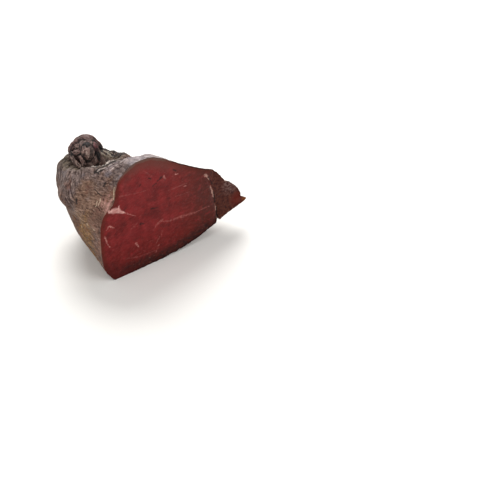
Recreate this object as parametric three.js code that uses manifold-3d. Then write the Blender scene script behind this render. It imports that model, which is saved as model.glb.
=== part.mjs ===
// Smoked cured beef: the tied-off end of a dried, smoked joint, cut across its grain.
// Millimetres, +Z up. The cut face is the plane that looks along -Y, and the piece rests on its underside.
// The body is a loft. Every meridian is a clamped cubic B-spline that starts square to the cut face, runs back
// along the flank, climbs the shoulder, rolls over the rim of a dimple, goes down to the neck and comes up again
// over the knob, where the end of the meat was drawn together and tied. The rolled folds of the knob are swept
// separately and joined to the body, so that the whole piece is one solid.

import * as THREE from 'three';
import { mergeVertices } from 'three/addons/utils/BufferGeometryUtils.js';
import Module from 'manifold-3d';

// ---------- driving dimensions ----------

const COLUMNS = 92;             // meridians round the piece
const ROWS = 41;                // steps along each meridian, from the cut face to the knob's tip
const FACE_CENTRE = [40, 32];   // X and Z of the middle of the cut face

// Dimple, neck and knob
const NECK_BACK_TILT = 18.5;            // degrees that the neck leans back
const NECK_SIDE_TILT = 4.0;             // degrees that it leans to the left
const RIM_CENTRE = [9.6, 34.5, 61.7];   // middle of the dimple's rim
const RIM_RADIUS = 22.4;                // outer edge of the rim
const NECK_RADIUS = 6.2;
const KNOB_RADIUS = 8.3;                // core of the knob, under its folds
const DIMPLE_DEPTH = 9.0;               // below the rim's plane
const KNOB_HEIGHT = 14.7;               // above the rim's plane
const KNOB_SHIFT = [-1.6, 0.3, 0.0];    // how far the knob has slumped off the neck's axis

// Outline of the cut face: X, Z and the bearing round the dimple that each station's meridian ends at, in degrees
const FACE = [
  // lower left corner, then the underside
  [-1.2, 0, 159], [14.2, 0, 140], [31, 0.4, 114], [42, 1, 98], [50, 2.2, 86],
  // from here the edge has left the table
  [57.5, 3.7, 76], [65, 6.1, 62], [71, 8.2, 54], [76.5, 10.3, 46],
  // the thin flap and its tip
  [82.5, 12.6, 38], [88.3, 14.4, 30], [93.2, 15.6, 23], [96.6, 17.7, 17], [93.2, 21, 10],
  // top of the flap, and the saddle over the seam
  [91.6, 25, 6], [88.6, 30, 1], [84.8, 34.4, -4], [80.4, 38.2, -9], [76, 43.8, -16],
  [71.7, 48.9, -24],
  // up to the crown
  [65.5, 52.2, -32], [55.3, 58.3, -43], [44.5, 65.4, -56], [34.2, 72.4, -70], [27.5, 75.3, -78],
  // crown, cheek, and the dip at the fat
  [16.3, 75.8, -92], [5.2, 68.5, -110], [0.2, 53.5, -131], [-7, 47.2, -141],
  // left wall
  [-9.5, 35, -158], [-9.4, 22, -175], [-8.8, 14.2, -183], [-7.2, 8.2, -190], [-4.2, 3.3, -196],
];

// Control points behind the face, by bearing: X, Y, Z on the flank and X, Y, Z on the shoulder
const FLANKS = [
  [-185, -5.6, 21, 13, -12.2, 43, 36.5],
  [-165, -11, 20, 36, -16.4, 33, 49],
  [-130, -9, 18, 56, -8, 17, 64],
  [-100, 9, 12, 72, 8, 11, 69.5],
  [-85, 21.5, 12.5, 73, 20, 14.3, 70.4],
  [-70, 34, 14, 68.6, 31, 18, 66],
  [-40, 56, 17, 50.2, 42, 28, 56],
  [-10, 77, 20, 33, 51, 35, 46],
  [20, 85, 22, 16, 56, 46, 33],
  [46, 71, 34, 2, 46, 58, 24],
  [75, 54, 46, -9, 33, 66, 22],
  [105, 36, 50, -11, 17, 70, 25],
  [135, 18, 47, -9, 6, 67, 25],
  [158, 6, 26, -3, -4, 52, 26],
];

// How much the rim stands above its mean height: bearing, height
const RIM_RISE = [
  [0, -3.2], [27, -1.6], [45, 0.2], [70, 0.5], [100, 0.4], [142, 0],
  [180, 2], [205, 3.6], [225, 4.1], [238, 3.2], [250, 1.7], [264, 1.5],
  [280, 1.9], [300, 1.1], [318, -0.2], [340, -2.9],
];

// Puckers drawn in by the tie: count round the piece, share of the height, phase in radians
const PLEATS = [[9, 0.42, 0.6], [14, 0.36, 2.1], [23, 0.22, 4.4]];
const PLEAT_HEIGHT = 0.9;
// Broad hollows and swells left by drying: wavelength, height
const SWELLS = [[34, 0.8], [19, 0.45]];
// Rolled folds that wrap the knob: points in the neck's own frame (right, back, up), and radius at start, middle and end
const ROLLS = [
  // the hood that goes over the top
  { path: [[-9.7, 2.6, 9.1], [-8.2, 3, 10.7], [-6.1, 3.4, 12.1], [-2.4, 3, 13.5], [1.2, 2.1, 13.9], [3.4, 0.9, 13.4], [5.3, -0.4, 12.2], [6.5, -1.8, 9.9], [7.4, -3.6, 7.5], [7.7, -5.1, 5.6]], size: [2.2, 3.2, 1.9] },
  // the tongue in the middle
  { path: [[0.4, -1.4, 11.4], [-1.2, -4.2, 9.9], [-2.5, -5.8, 7.7], [-3.5, -5, 4.2]], size: [2.6, 4.1, 2.8] },
  // a small fold at its left
  { path: [[-2.8, -0.4, 13.3], [-3.4, -2.6, 11.6], [-4, -4.6, 9.7], [-4.6, -5.6, 7.5]], size: [1.1, 1.5, 1] },
  // the lobe that hangs at its right
  { path: [[4.2, -2.8, 11.9], [3.1, -5.6, 9.7], [1.8, -6.3, 7.4], [-0.3, -5.8, 4.8]], size: [1.7, 2.4, 1.4] },
  // small folds at the left
  { path: [[-6.6, -0.1, 12], [-5.3, -1.6, 12.6], [-4.1, -2.3, 11.5]], size: [1, 1.5, 0.9] },
  { path: [[-9.7, 0.3, 8.9], [-7.5, -2.4, 10], [-5.3, -4.4, 8.6]], size: [1.3, 1.7, 1.1] },
  // the loop at the left, with two strands
  { path: [[-8.6, 1.2, 10.4], [-10, -0.8, 8], [-10.3, -2.7, 5.6], [-9.9, -4.5, 3.2], [-8.4, -5.5, 1]], size: [1.3, 1.5, 1.1] },
  { path: [[-6.9, -3.3, 8.4], [-7, -5.4, 5.7], [-7, -6.1, 3.3], [-8.1, -5.9, 1.1]], size: [1.1, 1.35, 1.1] },
  // the neck's right side
  { path: [[2.9, -4.5, 7.3], [3.1, -6.1, 4.1], [2.8, -6.1, 0.9]], size: [1.2, 1.7, 1.2] },
  // folds at the back
  { path: [[3, 3, 13], [6, 4.6, 9.6], [6.6, 4, 5], [5.4, 2.2, 0.6], [4.4, 0.6, -3.6]], size: [2, 2.7, 1.9] },
  { path: [[-1.4, 3.4, 13.4], [1.2, 7.6, 10.8], [3.2, 9, 6], [4.2, 8.2, 1], [5, 6.2, -3.6]], size: [2.1, 2.8, 2] },
  { path: [[-3.6, 5, 12.2], [-3.4, 8.2, 9.4], [-2.2, 9.4, 4.4], [-0.6, 8.4, -0.6], [1.2, 6.8, -4.4]], size: [1.8, 2.6, 1.9] },
  { path: [[-5.4, 6.2, 9.8], [-6.6, 7.4, 6.4], [-6.4, 8, 2.4], [-5, 7.6, -1.6]], size: [1.8, 2.5, 2] },
];
const ROLL_SIDES = 7;

// ---------- the neck's frame ----------

const rad = THREE.MathUtils.degToRad;
const UP = new THREE.Vector3(-Math.tan(rad(NECK_SIDE_TILT)), Math.tan(rad(NECK_BACK_TILT)), 1).normalize();
const BACK = new THREE.Vector3().crossVectors(UP, new THREE.Vector3(1, 0, 0)).normalize();
const RIGHT = new THREE.Vector3().crossVectors(BACK, UP);
const RIM = new THREE.Vector3(...RIM_CENTRE);
const SLUMP = new THREE.Vector3(...KNOB_SHIFT);

// Radius, height along the neck, share of the rim's rise, and how far drawn-up skin fills the dimple at the back left
const PROFILE = [
  [RIM_RADIUS, -3.5, 1, 0.6],
  [RIM_RADIUS - 2.2, 1.2, 1, 2.2],
  [RIM_RADIUS - 7.4, -0.8, 0.75, 7.2],
  [NECK_RADIUS + 4.0, -DIMPLE_DEPTH + 1.8, 0.5, 15.0],
  [NECK_RADIUS + 0.6, -DIMPLE_DEPTH, 0.3, 15.5],
  [NECK_RADIUS, -4.0, 0, 10.5],
  [7.2, -0.5, 0, 7.0],
  [KNOB_RADIUS - 0.7, 3.0, 0, 3.5],
  [KNOB_RADIUS, 8.5, 0, 0],
  [7.0, KNOB_HEIGHT - 2.3, 0, 0],
  [3.6, KNOB_HEIGHT - 0.1, 0, 0],
  [0, KNOB_HEIGHT, 0, 0],
];
const FILL_SIDE = 142;          // bearing at which the dimple is fullest

// How much of the slump a control ring takes, by its height above the dimple's floor
function slumpAt(radius, height) {
  return radius < RIM_RADIUS / 2 ? THREE.MathUtils.clamp((height + 7) / 9, 0, 1) : 0;
}

// ---------- curves ----------

// Closed Catmull-Rom through rows of values at rising parameters, at one parameter
function closedCurve(params, rows, period, at) {
  const n = params.length;
  const x = THREE.MathUtils.euclideanModulo(at - params[0], period) + params[0];
  let i = n - 1;
  while (i > 0 && params[i] > x) i--;
  const place = (j) => params[((j % n) + n) % n] + period * Math.floor(j / n);
  const row = (j) => rows[((j % n) + n) % n];
  const t = [place(i - 1), place(i), place(i + 1), place(i + 2)];
  const p = [row(i - 1), row(i), row(i + 1), row(i + 2)];
  return p[0].map((_, k) => {
    const blend = (a, b, ta, tb) => ((tb - x) * a + (x - ta) * b) / (tb - ta);
    const a1 = blend(p[0][k], p[1][k], t[0], t[1]);
    const a2 = blend(p[1][k], p[2][k], t[1], t[2]);
    const a3 = blend(p[2][k], p[3][k], t[2], t[3]);
    const b1 = blend(a1, a2, t[0], t[2]);
    const b2 = blend(a2, a3, t[1], t[3]);
    return blend(b1, b2, t[1], t[2]);
  });
}

// The face's outline as X, Z and bearing, at even steps along its length
function faceOutline(count) {
  const steps = FACE.map((a, i) => {
    const b = FACE[(i + 1) % FACE.length];
    return Math.sqrt(Math.hypot(b[0] - a[0], b[1] - a[1]));
  });
  const total = steps.reduce((a, b) => a + b, 0);
  const params = [];
  let run = 0;
  for (const s of steps) { params.push(run / total); run += s; }
  // The bearing falls by a full turn round the outline, so its even fall is taken out while it is interpolated
  const rows = FACE.map(([x, z, bearing], i) => [x, z, bearing + 360 * params[i]]);
  const at = (t) => {
    const [x, z, b] = closedCurve(params, rows, 1, t);
    return [x, z, b - 360 * t];
  };
  const fine = 4000;
  const lengths = [0];
  let last = at(0);
  for (let i = 1; i <= fine; i++) {
    const next = at(i / fine);
    lengths.push(lengths[i - 1] + Math.hypot(next[0] - last[0], next[1] - last[1]));
    last = next;
  }
  const outline = [];
  let j = 0;
  for (let i = 0; i < count; i++) {
    const want = (i / count) * lengths[fine];
    while (lengths[j + 1] < want) j++;
    const t = (j + (want - lengths[j]) / (lengths[j + 1] - lengths[j])) / fine;
    outline.push(at(t));
  }
  return outline;
}

// Weights of the control points of a clamped cubic B-spline
function splineWeights(count, t) {
  const degree = 3;
  const spans = count - degree;
  const knot = (i) => THREE.MathUtils.clamp((i - degree) / spans, 0, 1);
  const x = Math.min(t, 1 - 1e-12);
  let w = Array.from({ length: count + degree }, (_, i) => (x >= knot(i) && x < knot(i + 1) ? 1 : 0));
  for (let d = 1; d <= degree; d++) {
    w = Array.from({ length: count + degree - d }, (_, i) => {
      const a = knot(i + d) - knot(i);
      const b = knot(i + d + 1) - knot(i + 1);
      return (a > 0 ? ((x - knot(i)) / a) * w[i] : 0) + (b > 0 ? ((knot(i + d + 1) - x) / b) * w[i + 1] : 0);
    });
  }
  return w;
}

// ---------- the body ----------

const outline = faceOutline(COLUMNS);
const bearings = FLANKS.map((row) => row[0]);
const flanks = FLANKS.map((row) => row.slice(1));
const riseBearings = RIM_RISE.map((row) => row[0]);
const rises = RIM_RISE.map((row) => row.slice(1));

// Control rings of the loft, each with one point for each meridian
const rings = [outline.map(([x, z]) => new THREE.Vector3(x, 0, z)), [], []];
for (const [, , bearing] of outline) {
  const [fx, fy, fz, sx, sy, sz] = closedCurve(bearings, flanks, 360, bearing);
  rings[1].push(new THREE.Vector3(fx, fy, fz));
  rings[2].push(new THREE.Vector3(sx, sy, sz));
}
const outward = outline.map(([, , bearing]) => new THREE.Vector3()
  .addScaledVector(RIGHT, Math.cos(rad(bearing)))
  .addScaledVector(BACK, Math.sin(rad(bearing))));
for (const [radius, height, share, fill] of PROFILE) {
  rings.push(outward.map((way, c) => {
    const bearing = outline[c][2];
    const [rise] = closedCurve(riseBearings, rises, 360, bearing);
    const full = Math.pow(Math.max(0, Math.cos(rad(bearing - FILL_SIDE))), 1.5);
    return RIM.clone()
      .addScaledVector(way, radius)
      .addScaledVector(UP, height + share * rise + fill * full)
      .addScaledVector(SLUMP, slumpAt(radius, height));
  }));
}

function bodyPoint(column, v) {
  const weights = splineWeights(rings.length, v);
  const point = new THREE.Vector3();
  rings.forEach((ring, i) => point.addScaledVector(ring[column], weights[i]));
  return point;
}

// Steps along the meridians, evenly spaced by their mean length
function evenSteps(rows) {
  const fine = 1200;
  const lengths = [0];
  const probes = Array.from({ length: 12 }, (_, i) => Math.floor((i * COLUMNS) / 12));
  let last = probes.map((c) => bodyPoint(c, 0));
  for (let i = 1; i <= fine; i++) {
    const next = probes.map((c) => bodyPoint(c, i / fine));
    const mean = next.reduce((sum, p, k) => sum + p.distanceTo(last[k]), 0) / probes.length;
    lengths.push(lengths[i - 1] + mean);
    last = next;
  }
  const steps = [];
  let j = 0;
  for (let i = 0; i < rows; i++) {
    const want = (i / rows) * lengths[fine];
    while (lengths[j + 1] < want) j++;
    steps.push((j + (want - lengths[j]) / (lengths[j + 1] - lengths[j])) / fine);
  }
  return steps;
}

// Rise and fall of the surface along its own normal
const smooth = (a, b, x) => THREE.MathUtils.smoothstep(x, a, b);
function relief(point, bearing, v) {
  const b = rad(bearing);
  const gathered = smooth(0.08, 0.24, v) * (1 - 0.55 * smooth(0.34, 0.46, v)) * (1 - smooth(0.5, 0.62, v));
  let rise = 0;
  for (const [count, share, phase] of PLEATS) rise += share * Math.cos(count * b + phase + 0.25 * Math.sin(3 * b + 8 * v));
  rise *= PLEAT_HEIGHT * gathered;
  const away = smooth(0, 0.06, v) * (1 - smooth(0.3, 0.45, v));
  SWELLS.forEach(([wave, size], k) => {
    const f = (2 * Math.PI) / wave;
    rise += away * size * (Math.sin(f * point.x + 1.3 * k) * Math.sin(f * 1.1 * point.z + 0.7) + 0.6 * Math.sin(f * 0.9 * point.y + f * 0.6 * point.x + 2.0 * k));
  });
  return rise;
}

function bodyGeometry() {
  const steps = evenSteps(ROWS);
  const grid = steps.map((v) => outline.map((_, c) => bodyPoint(c, v)));
  const tip = bodyPoint(0, 1);
  const raised = grid.map((ring, r) => ring.map((point, c) => {
    if (r === 0) return point.clone();
    const round = grid[r][(c + 1) % COLUMNS].clone().sub(grid[r][(c + COLUMNS - 1) % COLUMNS]);
    const along = (r + 1 < steps.length ? grid[r + 1][c] : tip).clone().sub(grid[r - 1][c]);
    const normal = new THREE.Vector3().crossVectors(along, round).normalize();
    return point.clone().addScaledVector(normal, relief(point, outline[c][2], steps[r]));
  }));
  const positions = [];
  // The piece has settled flat on its underside, and nothing stands in front of the cut
  const put = (p) => positions.push(p.x, Math.max(p.y, 0), Math.max(p.z, 0));
  raised.flat().forEach(put);
  put(tip);
  put(new THREE.Vector3(FACE_CENTRE[0], 0, FACE_CENTRE[1]));
  const last = ROWS * COLUMNS;
  const index = [];
  for (let c = 0; c < COLUMNS; c++) {
    const d = (c + 1) % COLUMNS;
    for (let r = 0; r + 1 < ROWS; r++) {
      const [a, b, e, f] = [r * COLUMNS + c, r * COLUMNS + d, (r + 1) * COLUMNS + c, (r + 1) * COLUMNS + d];
      index.push(a, e, b, b, e, f);
    }
    index.push((ROWS - 1) * COLUMNS + c, last, (ROWS - 1) * COLUMNS + d);
    index.push(c, d, last + 1);
  }
  const geometry = new THREE.BufferGeometry();
  geometry.setAttribute('position', new THREE.Float32BufferAttribute(positions, 3));
  geometry.setIndex(index);
  return geometry;
}

// ---------- the rolled folds ----------

// A tapering sausage with round ends, swept along a smooth curve
function rollGeometry({ path, size }) {
  const steps = path.length > 7 ? 14 : 3 + path.length;
  const curve = new THREE.CatmullRomCurve3(path.map(([r, b, u]) => RIM.clone().add(SLUMP)
    .addScaledVector(RIGHT, r).addScaledVector(BACK, b).addScaledVector(UP, u)));
  const frames = curve.computeFrenetFrames(steps, false);
  const positions = [];
  const index = [];
  for (let i = 0; i <= steps; i++) {
    const t = i / steps;
    const body = t < 0.5
      ? THREE.MathUtils.lerp(size[0], size[1], smooth(0, 0.5, t))
      : THREE.MathUtils.lerp(size[1], size[2], smooth(0.5, 1, t));
    const radius = body * Math.sqrt(1 - Math.pow(Math.abs(2 * t - 1), 6) * 0.9);
    const middle = curve.getPointAt(t);
    for (let s = 0; s < ROLL_SIDES; s++) {
      const a = (s / ROLL_SIDES) * Math.PI * 2;
      const p = middle.clone()
        .addScaledVector(frames.normals[i], Math.cos(a) * radius)
        .addScaledVector(frames.binormals[i], Math.sin(a) * radius);
      positions.push(p.x, p.y, p.z);
    }
  }
  for (const t of [0, 1]) {
    const end = curve.getPointAt(t).addScaledVector(curve.getTangentAt(t), (t ? 1 : -1) * size[t * 2] * 0.35);
    positions.push(end.x, end.y, end.z);
  }
  const ends = (steps + 1) * ROLL_SIDES;
  for (let s = 0; s < ROLL_SIDES; s++) {
    const n = (s + 1) % ROLL_SIDES;
    for (let i = 0; i < steps; i++) {
      const [a, b, c, d] = [i * ROLL_SIDES + s, i * ROLL_SIDES + n, (i + 1) * ROLL_SIDES + s, (i + 1) * ROLL_SIDES + n];
      index.push(a, b, c, b, d, c);
    }
    index.push(n, s, ends);
    index.push(steps * ROLL_SIDES + s, steps * ROLL_SIDES + n, ends + 1);
  }
  const geometry = new THREE.BufferGeometry();
  geometry.setAttribute('position', new THREE.Float32BufferAttribute(positions, 3));
  geometry.setIndex(index);
  return geometry;
}

// ---------- one solid ----------

const wasm = await Module();
wasm.setup();

function solid(geometry) {
  const merged = mergeVertices(geometry, 1e-5);
  return new wasm.Manifold(new wasm.Mesh({
    numProp: 3,
    vertProperties: new Float32Array(merged.attributes.position.array),
    triVerts: new Uint32Array(merged.index.array),
  }));
}

function geometryOf(manifold) {
  const mesh = manifold.getMesh();
  const geometry = new THREE.BufferGeometry();
  const places = new Float32Array(mesh.numVert * 3);
  for (let i = 0; i < mesh.numVert; i++) {
    for (let k = 0; k < 3; k++) places[3 * i + k] = mesh.vertProperties[mesh.numProp * i + k];
  }
  geometry.setAttribute('position', new THREE.BufferAttribute(places, 3));
  geometry.setIndex(new THREE.BufferAttribute(new Uint32Array(mesh.triVerts), 1));
  return geometry;
}

let joined = solid(bodyGeometry());
for (const roll of ROLLS) joined = joined.add(solid(rollGeometry(roll)));
const beefGeometry = geometryOf(joined);

// The origin goes to the middle of the underside
beefGeometry.computeBoundingBox();
const { min, max } = beefGeometry.boundingBox;
beefGeometry.translate(-(min.x + max.x) / 2, -(min.y + max.y) / 2, -min.z);
beefGeometry.computeVertexNormals();

const crust = new THREE.MeshStandardMaterial({ color: 0x4a3530, roughness: 0.62, metalness: 0 });
const curedBeef = new THREE.Mesh(beefGeometry, crust);
curedBeef.name = 'cured_beef';

const group = new THREE.Group();
group.name = 'smoked_cured_beef';
group.add(curedBeef);

export default group;
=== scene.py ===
import math

import bpy
import numpy as np
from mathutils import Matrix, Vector
from mathutils.kdtree import KDTree


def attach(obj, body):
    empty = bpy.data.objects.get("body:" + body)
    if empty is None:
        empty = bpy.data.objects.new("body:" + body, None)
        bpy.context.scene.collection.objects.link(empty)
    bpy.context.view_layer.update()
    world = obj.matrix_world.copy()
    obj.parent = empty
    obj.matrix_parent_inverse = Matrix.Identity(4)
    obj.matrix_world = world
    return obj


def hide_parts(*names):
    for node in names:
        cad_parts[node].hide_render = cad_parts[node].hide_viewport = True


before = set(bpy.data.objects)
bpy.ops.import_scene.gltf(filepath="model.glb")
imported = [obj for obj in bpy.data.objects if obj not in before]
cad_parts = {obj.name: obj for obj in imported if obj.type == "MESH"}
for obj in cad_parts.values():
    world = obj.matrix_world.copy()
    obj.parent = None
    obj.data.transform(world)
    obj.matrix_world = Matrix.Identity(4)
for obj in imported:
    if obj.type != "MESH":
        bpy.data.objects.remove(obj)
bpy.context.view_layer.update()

# Smoked cured beef: the tied-off end of a dried, smoked joint, cut across its grain.
# The form is the CAD solid's own loft, worked out in millimetres in the cut face's frame: X along the cut,
# Y into the meat, Z up. SHIFT then moves it to the middle of the box, on the table.
SHIFT = np.array([-40.423, -31.617, 0.0])
MM = 0.001

# ---------------------------------------------------------------- sizes

COLUMNS = 512           # meridians round the body; the knob and the middle of the cut have half as many
FACE_CENTRE = np.array([40.0, 0.0, 32.0])
NECK_BACK_TILT = 18.5
NECK_SIDE_TILT = 4.0
RIM_CENTRE = np.array([9.6, 34.5, 61.7])
RIM_RADIUS = 22.4
NECK_RADIUS = 6.2
KNOB_RADIUS = 8.3
DIMPLE_DEPTH = 9.0
KNOB_HEIGHT = 14.7
KNOB_SHIFT = np.array([-1.6, 0.3, 0.0])

# Outline of the cut face: X, Z and the bearing round the dimple that each station's meridian ends at
FACE = np.array([
    (-1.2, 0.0, 159), (14.2, 0.0, 140), (31.0, 0.4, 114), (42.0, 1.0, 98), (50.0, 2.2, 86), (57.5, 3.7, 76),
    (65.0, 6.1, 62), (71.0, 8.2, 54), (76.5, 10.3, 46), (82.5, 12.6, 38), (88.3, 14.4, 30), (93.2, 15.6, 23),
    (96.6, 17.7, 17), (93.2, 21.0, 10), (91.6, 25.0, 6), (88.6, 30.0, 1), (84.8, 34.4, -4), (80.4, 38.2, -9),
    (76.0, 43.8, -16), (71.7, 48.9, -24), (65.5, 52.2, -32), (55.3, 58.3, -43), (44.5, 65.4, -56),
    (34.2, 72.4, -70), (27.5, 75.3, -78), (16.3, 75.8, -92), (5.2, 68.5, -110), (0.2, 53.5, -131),
    (-7.0, 47.2, -141), (-9.5, 35.0, -158), (-9.4, 22.0, -175), (-8.8, 14.2, -183), (-7.2, 8.2, -190),
    (-4.2, 3.3, -196)], float)

# Control points behind the face, by bearing: X, Y, Z on the flank and X, Y, Z on the shoulder
FLANKS = np.array([
    (-185, -5.6, 21, 13, -12.2, 43, 36.5), (-165, -11, 20, 36, -16.4, 33, 49), (-130, -9, 18, 56, -8, 17, 64),
    (-100, 9, 12, 72, 8, 11, 69.5), (-85, 21.5, 12.5, 73, 20, 14.3, 70.4), (-70, 34, 14, 68.6, 31, 18, 66),
    (-40, 56, 17, 50.2, 42, 28, 56),
    (-10, 77, 20, 33, 51, 35, 46), (20, 85, 22, 16, 56, 46, 33), (46, 71, 34, 2, 46, 58, 24),
    (75, 54, 46, -9, 33, 66, 22), (105, 36, 50, -11, 17, 70, 25), (135, 18, 47, -9, 6, 67, 25),
    (158, 6, 26, -3, -4, 52, 26)], float)

# How much the rim stands above its mean height, by bearing
RIM_RISE = np.array([
    (0, -3.2), (27, -1.6), (45, 0.2), (70, 0.5), (100, 0.4), (142, 0.0), (180, 2.0), (205, 3.6), (225, 4.1), (238, 3.2),
    (250, 1.7), (264, 1.5), (280, 1.9), (300, 1.1), (318, -0.2), (340, -2.9)], float)

# Radius, height along the neck, share of the rim's rise, and how far drawn-up skin fills the dimple at the back left
PROFILE = [
    (RIM_RADIUS, -3.5, 1.0, 0.6), (RIM_RADIUS - 2.2, 1.2, 1.0, 2.2), (RIM_RADIUS - 7.4, -0.8, 0.75, 7.2),
    (NECK_RADIUS + 4.0, -DIMPLE_DEPTH + 1.8, 0.5, 15.0), (NECK_RADIUS + 0.6, -DIMPLE_DEPTH, 0.3, 15.5),
    (NECK_RADIUS, -4.0, 0.0, 10.5), (7.2, -0.5, 0.0, 7.0), (KNOB_RADIUS - 0.7, 3.0, 0.0, 3.5),
    (KNOB_RADIUS, 8.5, 0.0, 0.0), (7.0, KNOB_HEIGHT - 2.3, 0.0, 0.0), (3.6, KNOB_HEIGHT - 0.1, 0.0, 0.0),
    (0.0, KNOB_HEIGHT, 0.0, 0.0)]
FILL_SIDE = 142.0

PLEATS = [(9, 0.42, 0.6), (14, 0.36, 2.1), (23, 0.22, 4.4)]
PLEAT_HEIGHT = 0.9
SWELLS = [(34.0, 0.8), (19.0, 0.45)]

# Rolled folds of skin that make up the knob, in the neck's own frame (right, back, up), with radii at start, middle and end
ROLLS = [
    # the hood that goes over the top, from the left lobe to its end at the right
    ([(-9.7, 2.6, 9.1), (-8.2, 3.0, 10.7), (-6.1, 3.4, 12.1), (-2.4, 3.0, 13.5), (1.2, 2.1, 13.9), (3.4, 0.9, 13.4), (5.3, -0.4, 12.2), (6.5, -1.8, 9.9), (7.4, -3.6, 7.5), (7.7, -5.1, 5.6)], (2.2, 3.2, 1.9)),
    # the tongue in the middle, with a smaller fold at its left, and the lobe that hangs at its right
    ([(0.4, -1.4, 11.4), (-1.2, -4.2, 9.9), (-2.5, -5.8, 7.7), (-3.5, -5.0, 4.2)], (2.6, 4.1, 2.8)),
    ([(-2.8, -0.4, 13.3), (-3.4, -2.6, 11.6), (-4.0, -4.6, 9.7), (-4.6, -5.6, 7.5)], (1.1, 1.5, 1.0)),
    ([(4.2, -2.8, 11.9), (3.1, -5.6, 9.7), (1.8, -6.3, 7.4), (-0.3, -5.8, 4.8)], (1.7, 2.4, 1.4)),
    # small folds between the hood and the loop at the left, and the loop's two strands
    ([(-6.6, -0.1, 12.0), (-5.3, -1.6, 12.6), (-4.1, -2.3, 11.5)], (1.0, 1.5, 0.9)),
    ([(-9.7, 0.3, 8.9), (-7.5, -2.4, 10.0), (-5.3, -4.4, 8.6)], (1.3, 1.7, 1.1)),
    ([(-8.6, 1.2, 10.4), (-10.0, -0.8, 8.0), (-10.3, -2.7, 5.6), (-9.9, -4.5, 3.2), (-8.4, -5.5, 1.0)], (1.3, 1.5, 1.1)),
    ([(-6.9, -3.3, 8.4), (-7.0, -5.4, 5.7), (-7.0, -6.1, 3.3), (-8.1, -5.9, 1.1)], (1.1, 1.35, 1.1)),
    # the neck's right side, then the folds at the back
    ([(2.9, -4.5, 7.3), (3.1, -6.1, 4.1), (2.8, -6.1, 0.9)], (1.2, 1.7, 1.2)),
    ([(3.0, 3.0, 13.0), (6.0, 4.6, 9.6), (6.6, 4.0, 5.0), (5.4, 2.2, 0.6), (4.4, 0.6, -3.6)], (2.0, 2.7, 1.9)),
    ([(-1.4, 3.4, 13.4), (1.2, 7.6, 10.8), (3.2, 9.0, 6.0), (4.2, 8.2, 1.0), (5.0, 6.2, -3.6)], (2.1, 2.8, 2.0)),
    ([(-3.6, 5.0, 12.2), (-3.4, 8.2, 9.4), (-2.2, 9.4, 4.4), (-0.6, 8.4, -0.6), (1.2, 6.8, -4.4)], (1.8, 2.6, 1.9)),
    ([(-5.4, 6.2, 9.8), (-6.6, 7.4, 6.4), (-6.4, 8.0, 2.4), (-5.0, 7.6, -1.6)], (1.8, 2.5, 2.0)),
]

# ---------------------------------------------------------------- the neck's frame


def unit(v):
    v = np.asarray(v, float)
    return v / np.linalg.norm(v)


UP = unit([-math.tan(math.radians(NECK_SIDE_TILT)), math.tan(math.radians(NECK_BACK_TILT)), 1.0])
BACK = unit(np.cross(UP, [1.0, 0.0, 0.0]))
RIGHT = np.cross(BACK, UP)


def smooth(a, b, x):
    t = np.clip((np.asarray(x, float) - a) / (b - a), 0.0, 1.0)
    return t * t * (3 - 2 * t)


# ---------------------------------------------------------------- seeded noise


def _hash(i, j, k, seed):
    with np.errstate(over="ignore"):
        h = (i.astype(np.uint32) * np.uint32(374761393) + j.astype(np.uint32) * np.uint32(668265263)
             + k.astype(np.uint32) * np.uint32(2246822519) + np.uint32(seed) * np.uint32(3266489917))
        h = (h ^ (h >> np.uint32(13))) * np.uint32(1274126177)
        h = (h ^ (h >> np.uint32(16))) * np.uint32(2654435761)
        return h ^ (h >> np.uint32(15))


def noise(p, seed=0):
    """Gradient noise at points (n, 3), about -1 to 1, with one feature to a unit."""
    base = np.floor(p).astype(np.int64)
    f = p - base
    w = f * f * f * (f * (f * 6 - 15) + 10)
    total = np.zeros(len(p))
    for dx in (0, 1):
        for dy in (0, 1):
            for dz in (0, 1):
                h = _hash(base[:, 0] + dx, base[:, 1] + dy, base[:, 2] + dz, seed)
                g = np.stack([(h & 1023), (h >> 10) & 1023, (h >> 20) & 1023], 1).astype(float) / 511.5 - 1.0
                off = f - np.array([dx, dy, dz])
                weight = (w[:, 0] if dx else 1 - w[:, 0]) * (w[:, 1] if dy else 1 - w[:, 1]) * (w[:, 2] if dz else 1 - w[:, 2])
                total += weight * (g * off).sum(1)
    return total * 1.3


def layered(p, octaves, seed=0, gain=0.5):
    total, size = np.zeros(len(p)), 1.0
    for o in range(octaves):
        total += size * noise(p * 2.03 ** o + 17.3 * o, seed + 31 * o)
        size *= gain
    return total


def valleys(p, seed=0, width=0.2):
    """A net of thin valleys between rounded folds: 1 at the bottom of a valley, 0 on a fold."""
    return 1 - smooth(0.0, width, np.abs(noise(p, seed)))


# ---------------------------------------------------------------- curves


def closed_curve(params, rows, period, at):
    """Closed Catmull-Rom through rows of values at rising parameters, at many parameters."""
    n = len(params)
    x = np.mod(at - params[0], period) + params[0]
    i = np.clip(np.searchsorted(params, x, side="right") - 1, 0, n - 1)

    def place(j):
        return (params[j % n] + period * (j // n))[:, None]

    t = [place(i + k) for k in (-1, 0, 1, 2)]
    p = [rows[(i + k) % n] for k in (-1, 0, 1, 2)]
    s = x[:, None]

    def blend(a, b, ta, tb):
        return ((tb - s) * a + (s - ta) * b) / (tb - ta)

    a1, a2, a3 = blend(p[0], p[1], t[0], t[1]), blend(p[1], p[2], t[1], t[2]), blend(p[2], p[3], t[2], t[3])
    return blend(blend(a1, a2, t[0], t[2]), blend(a2, a3, t[1], t[3]), t[1], t[2])


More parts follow.
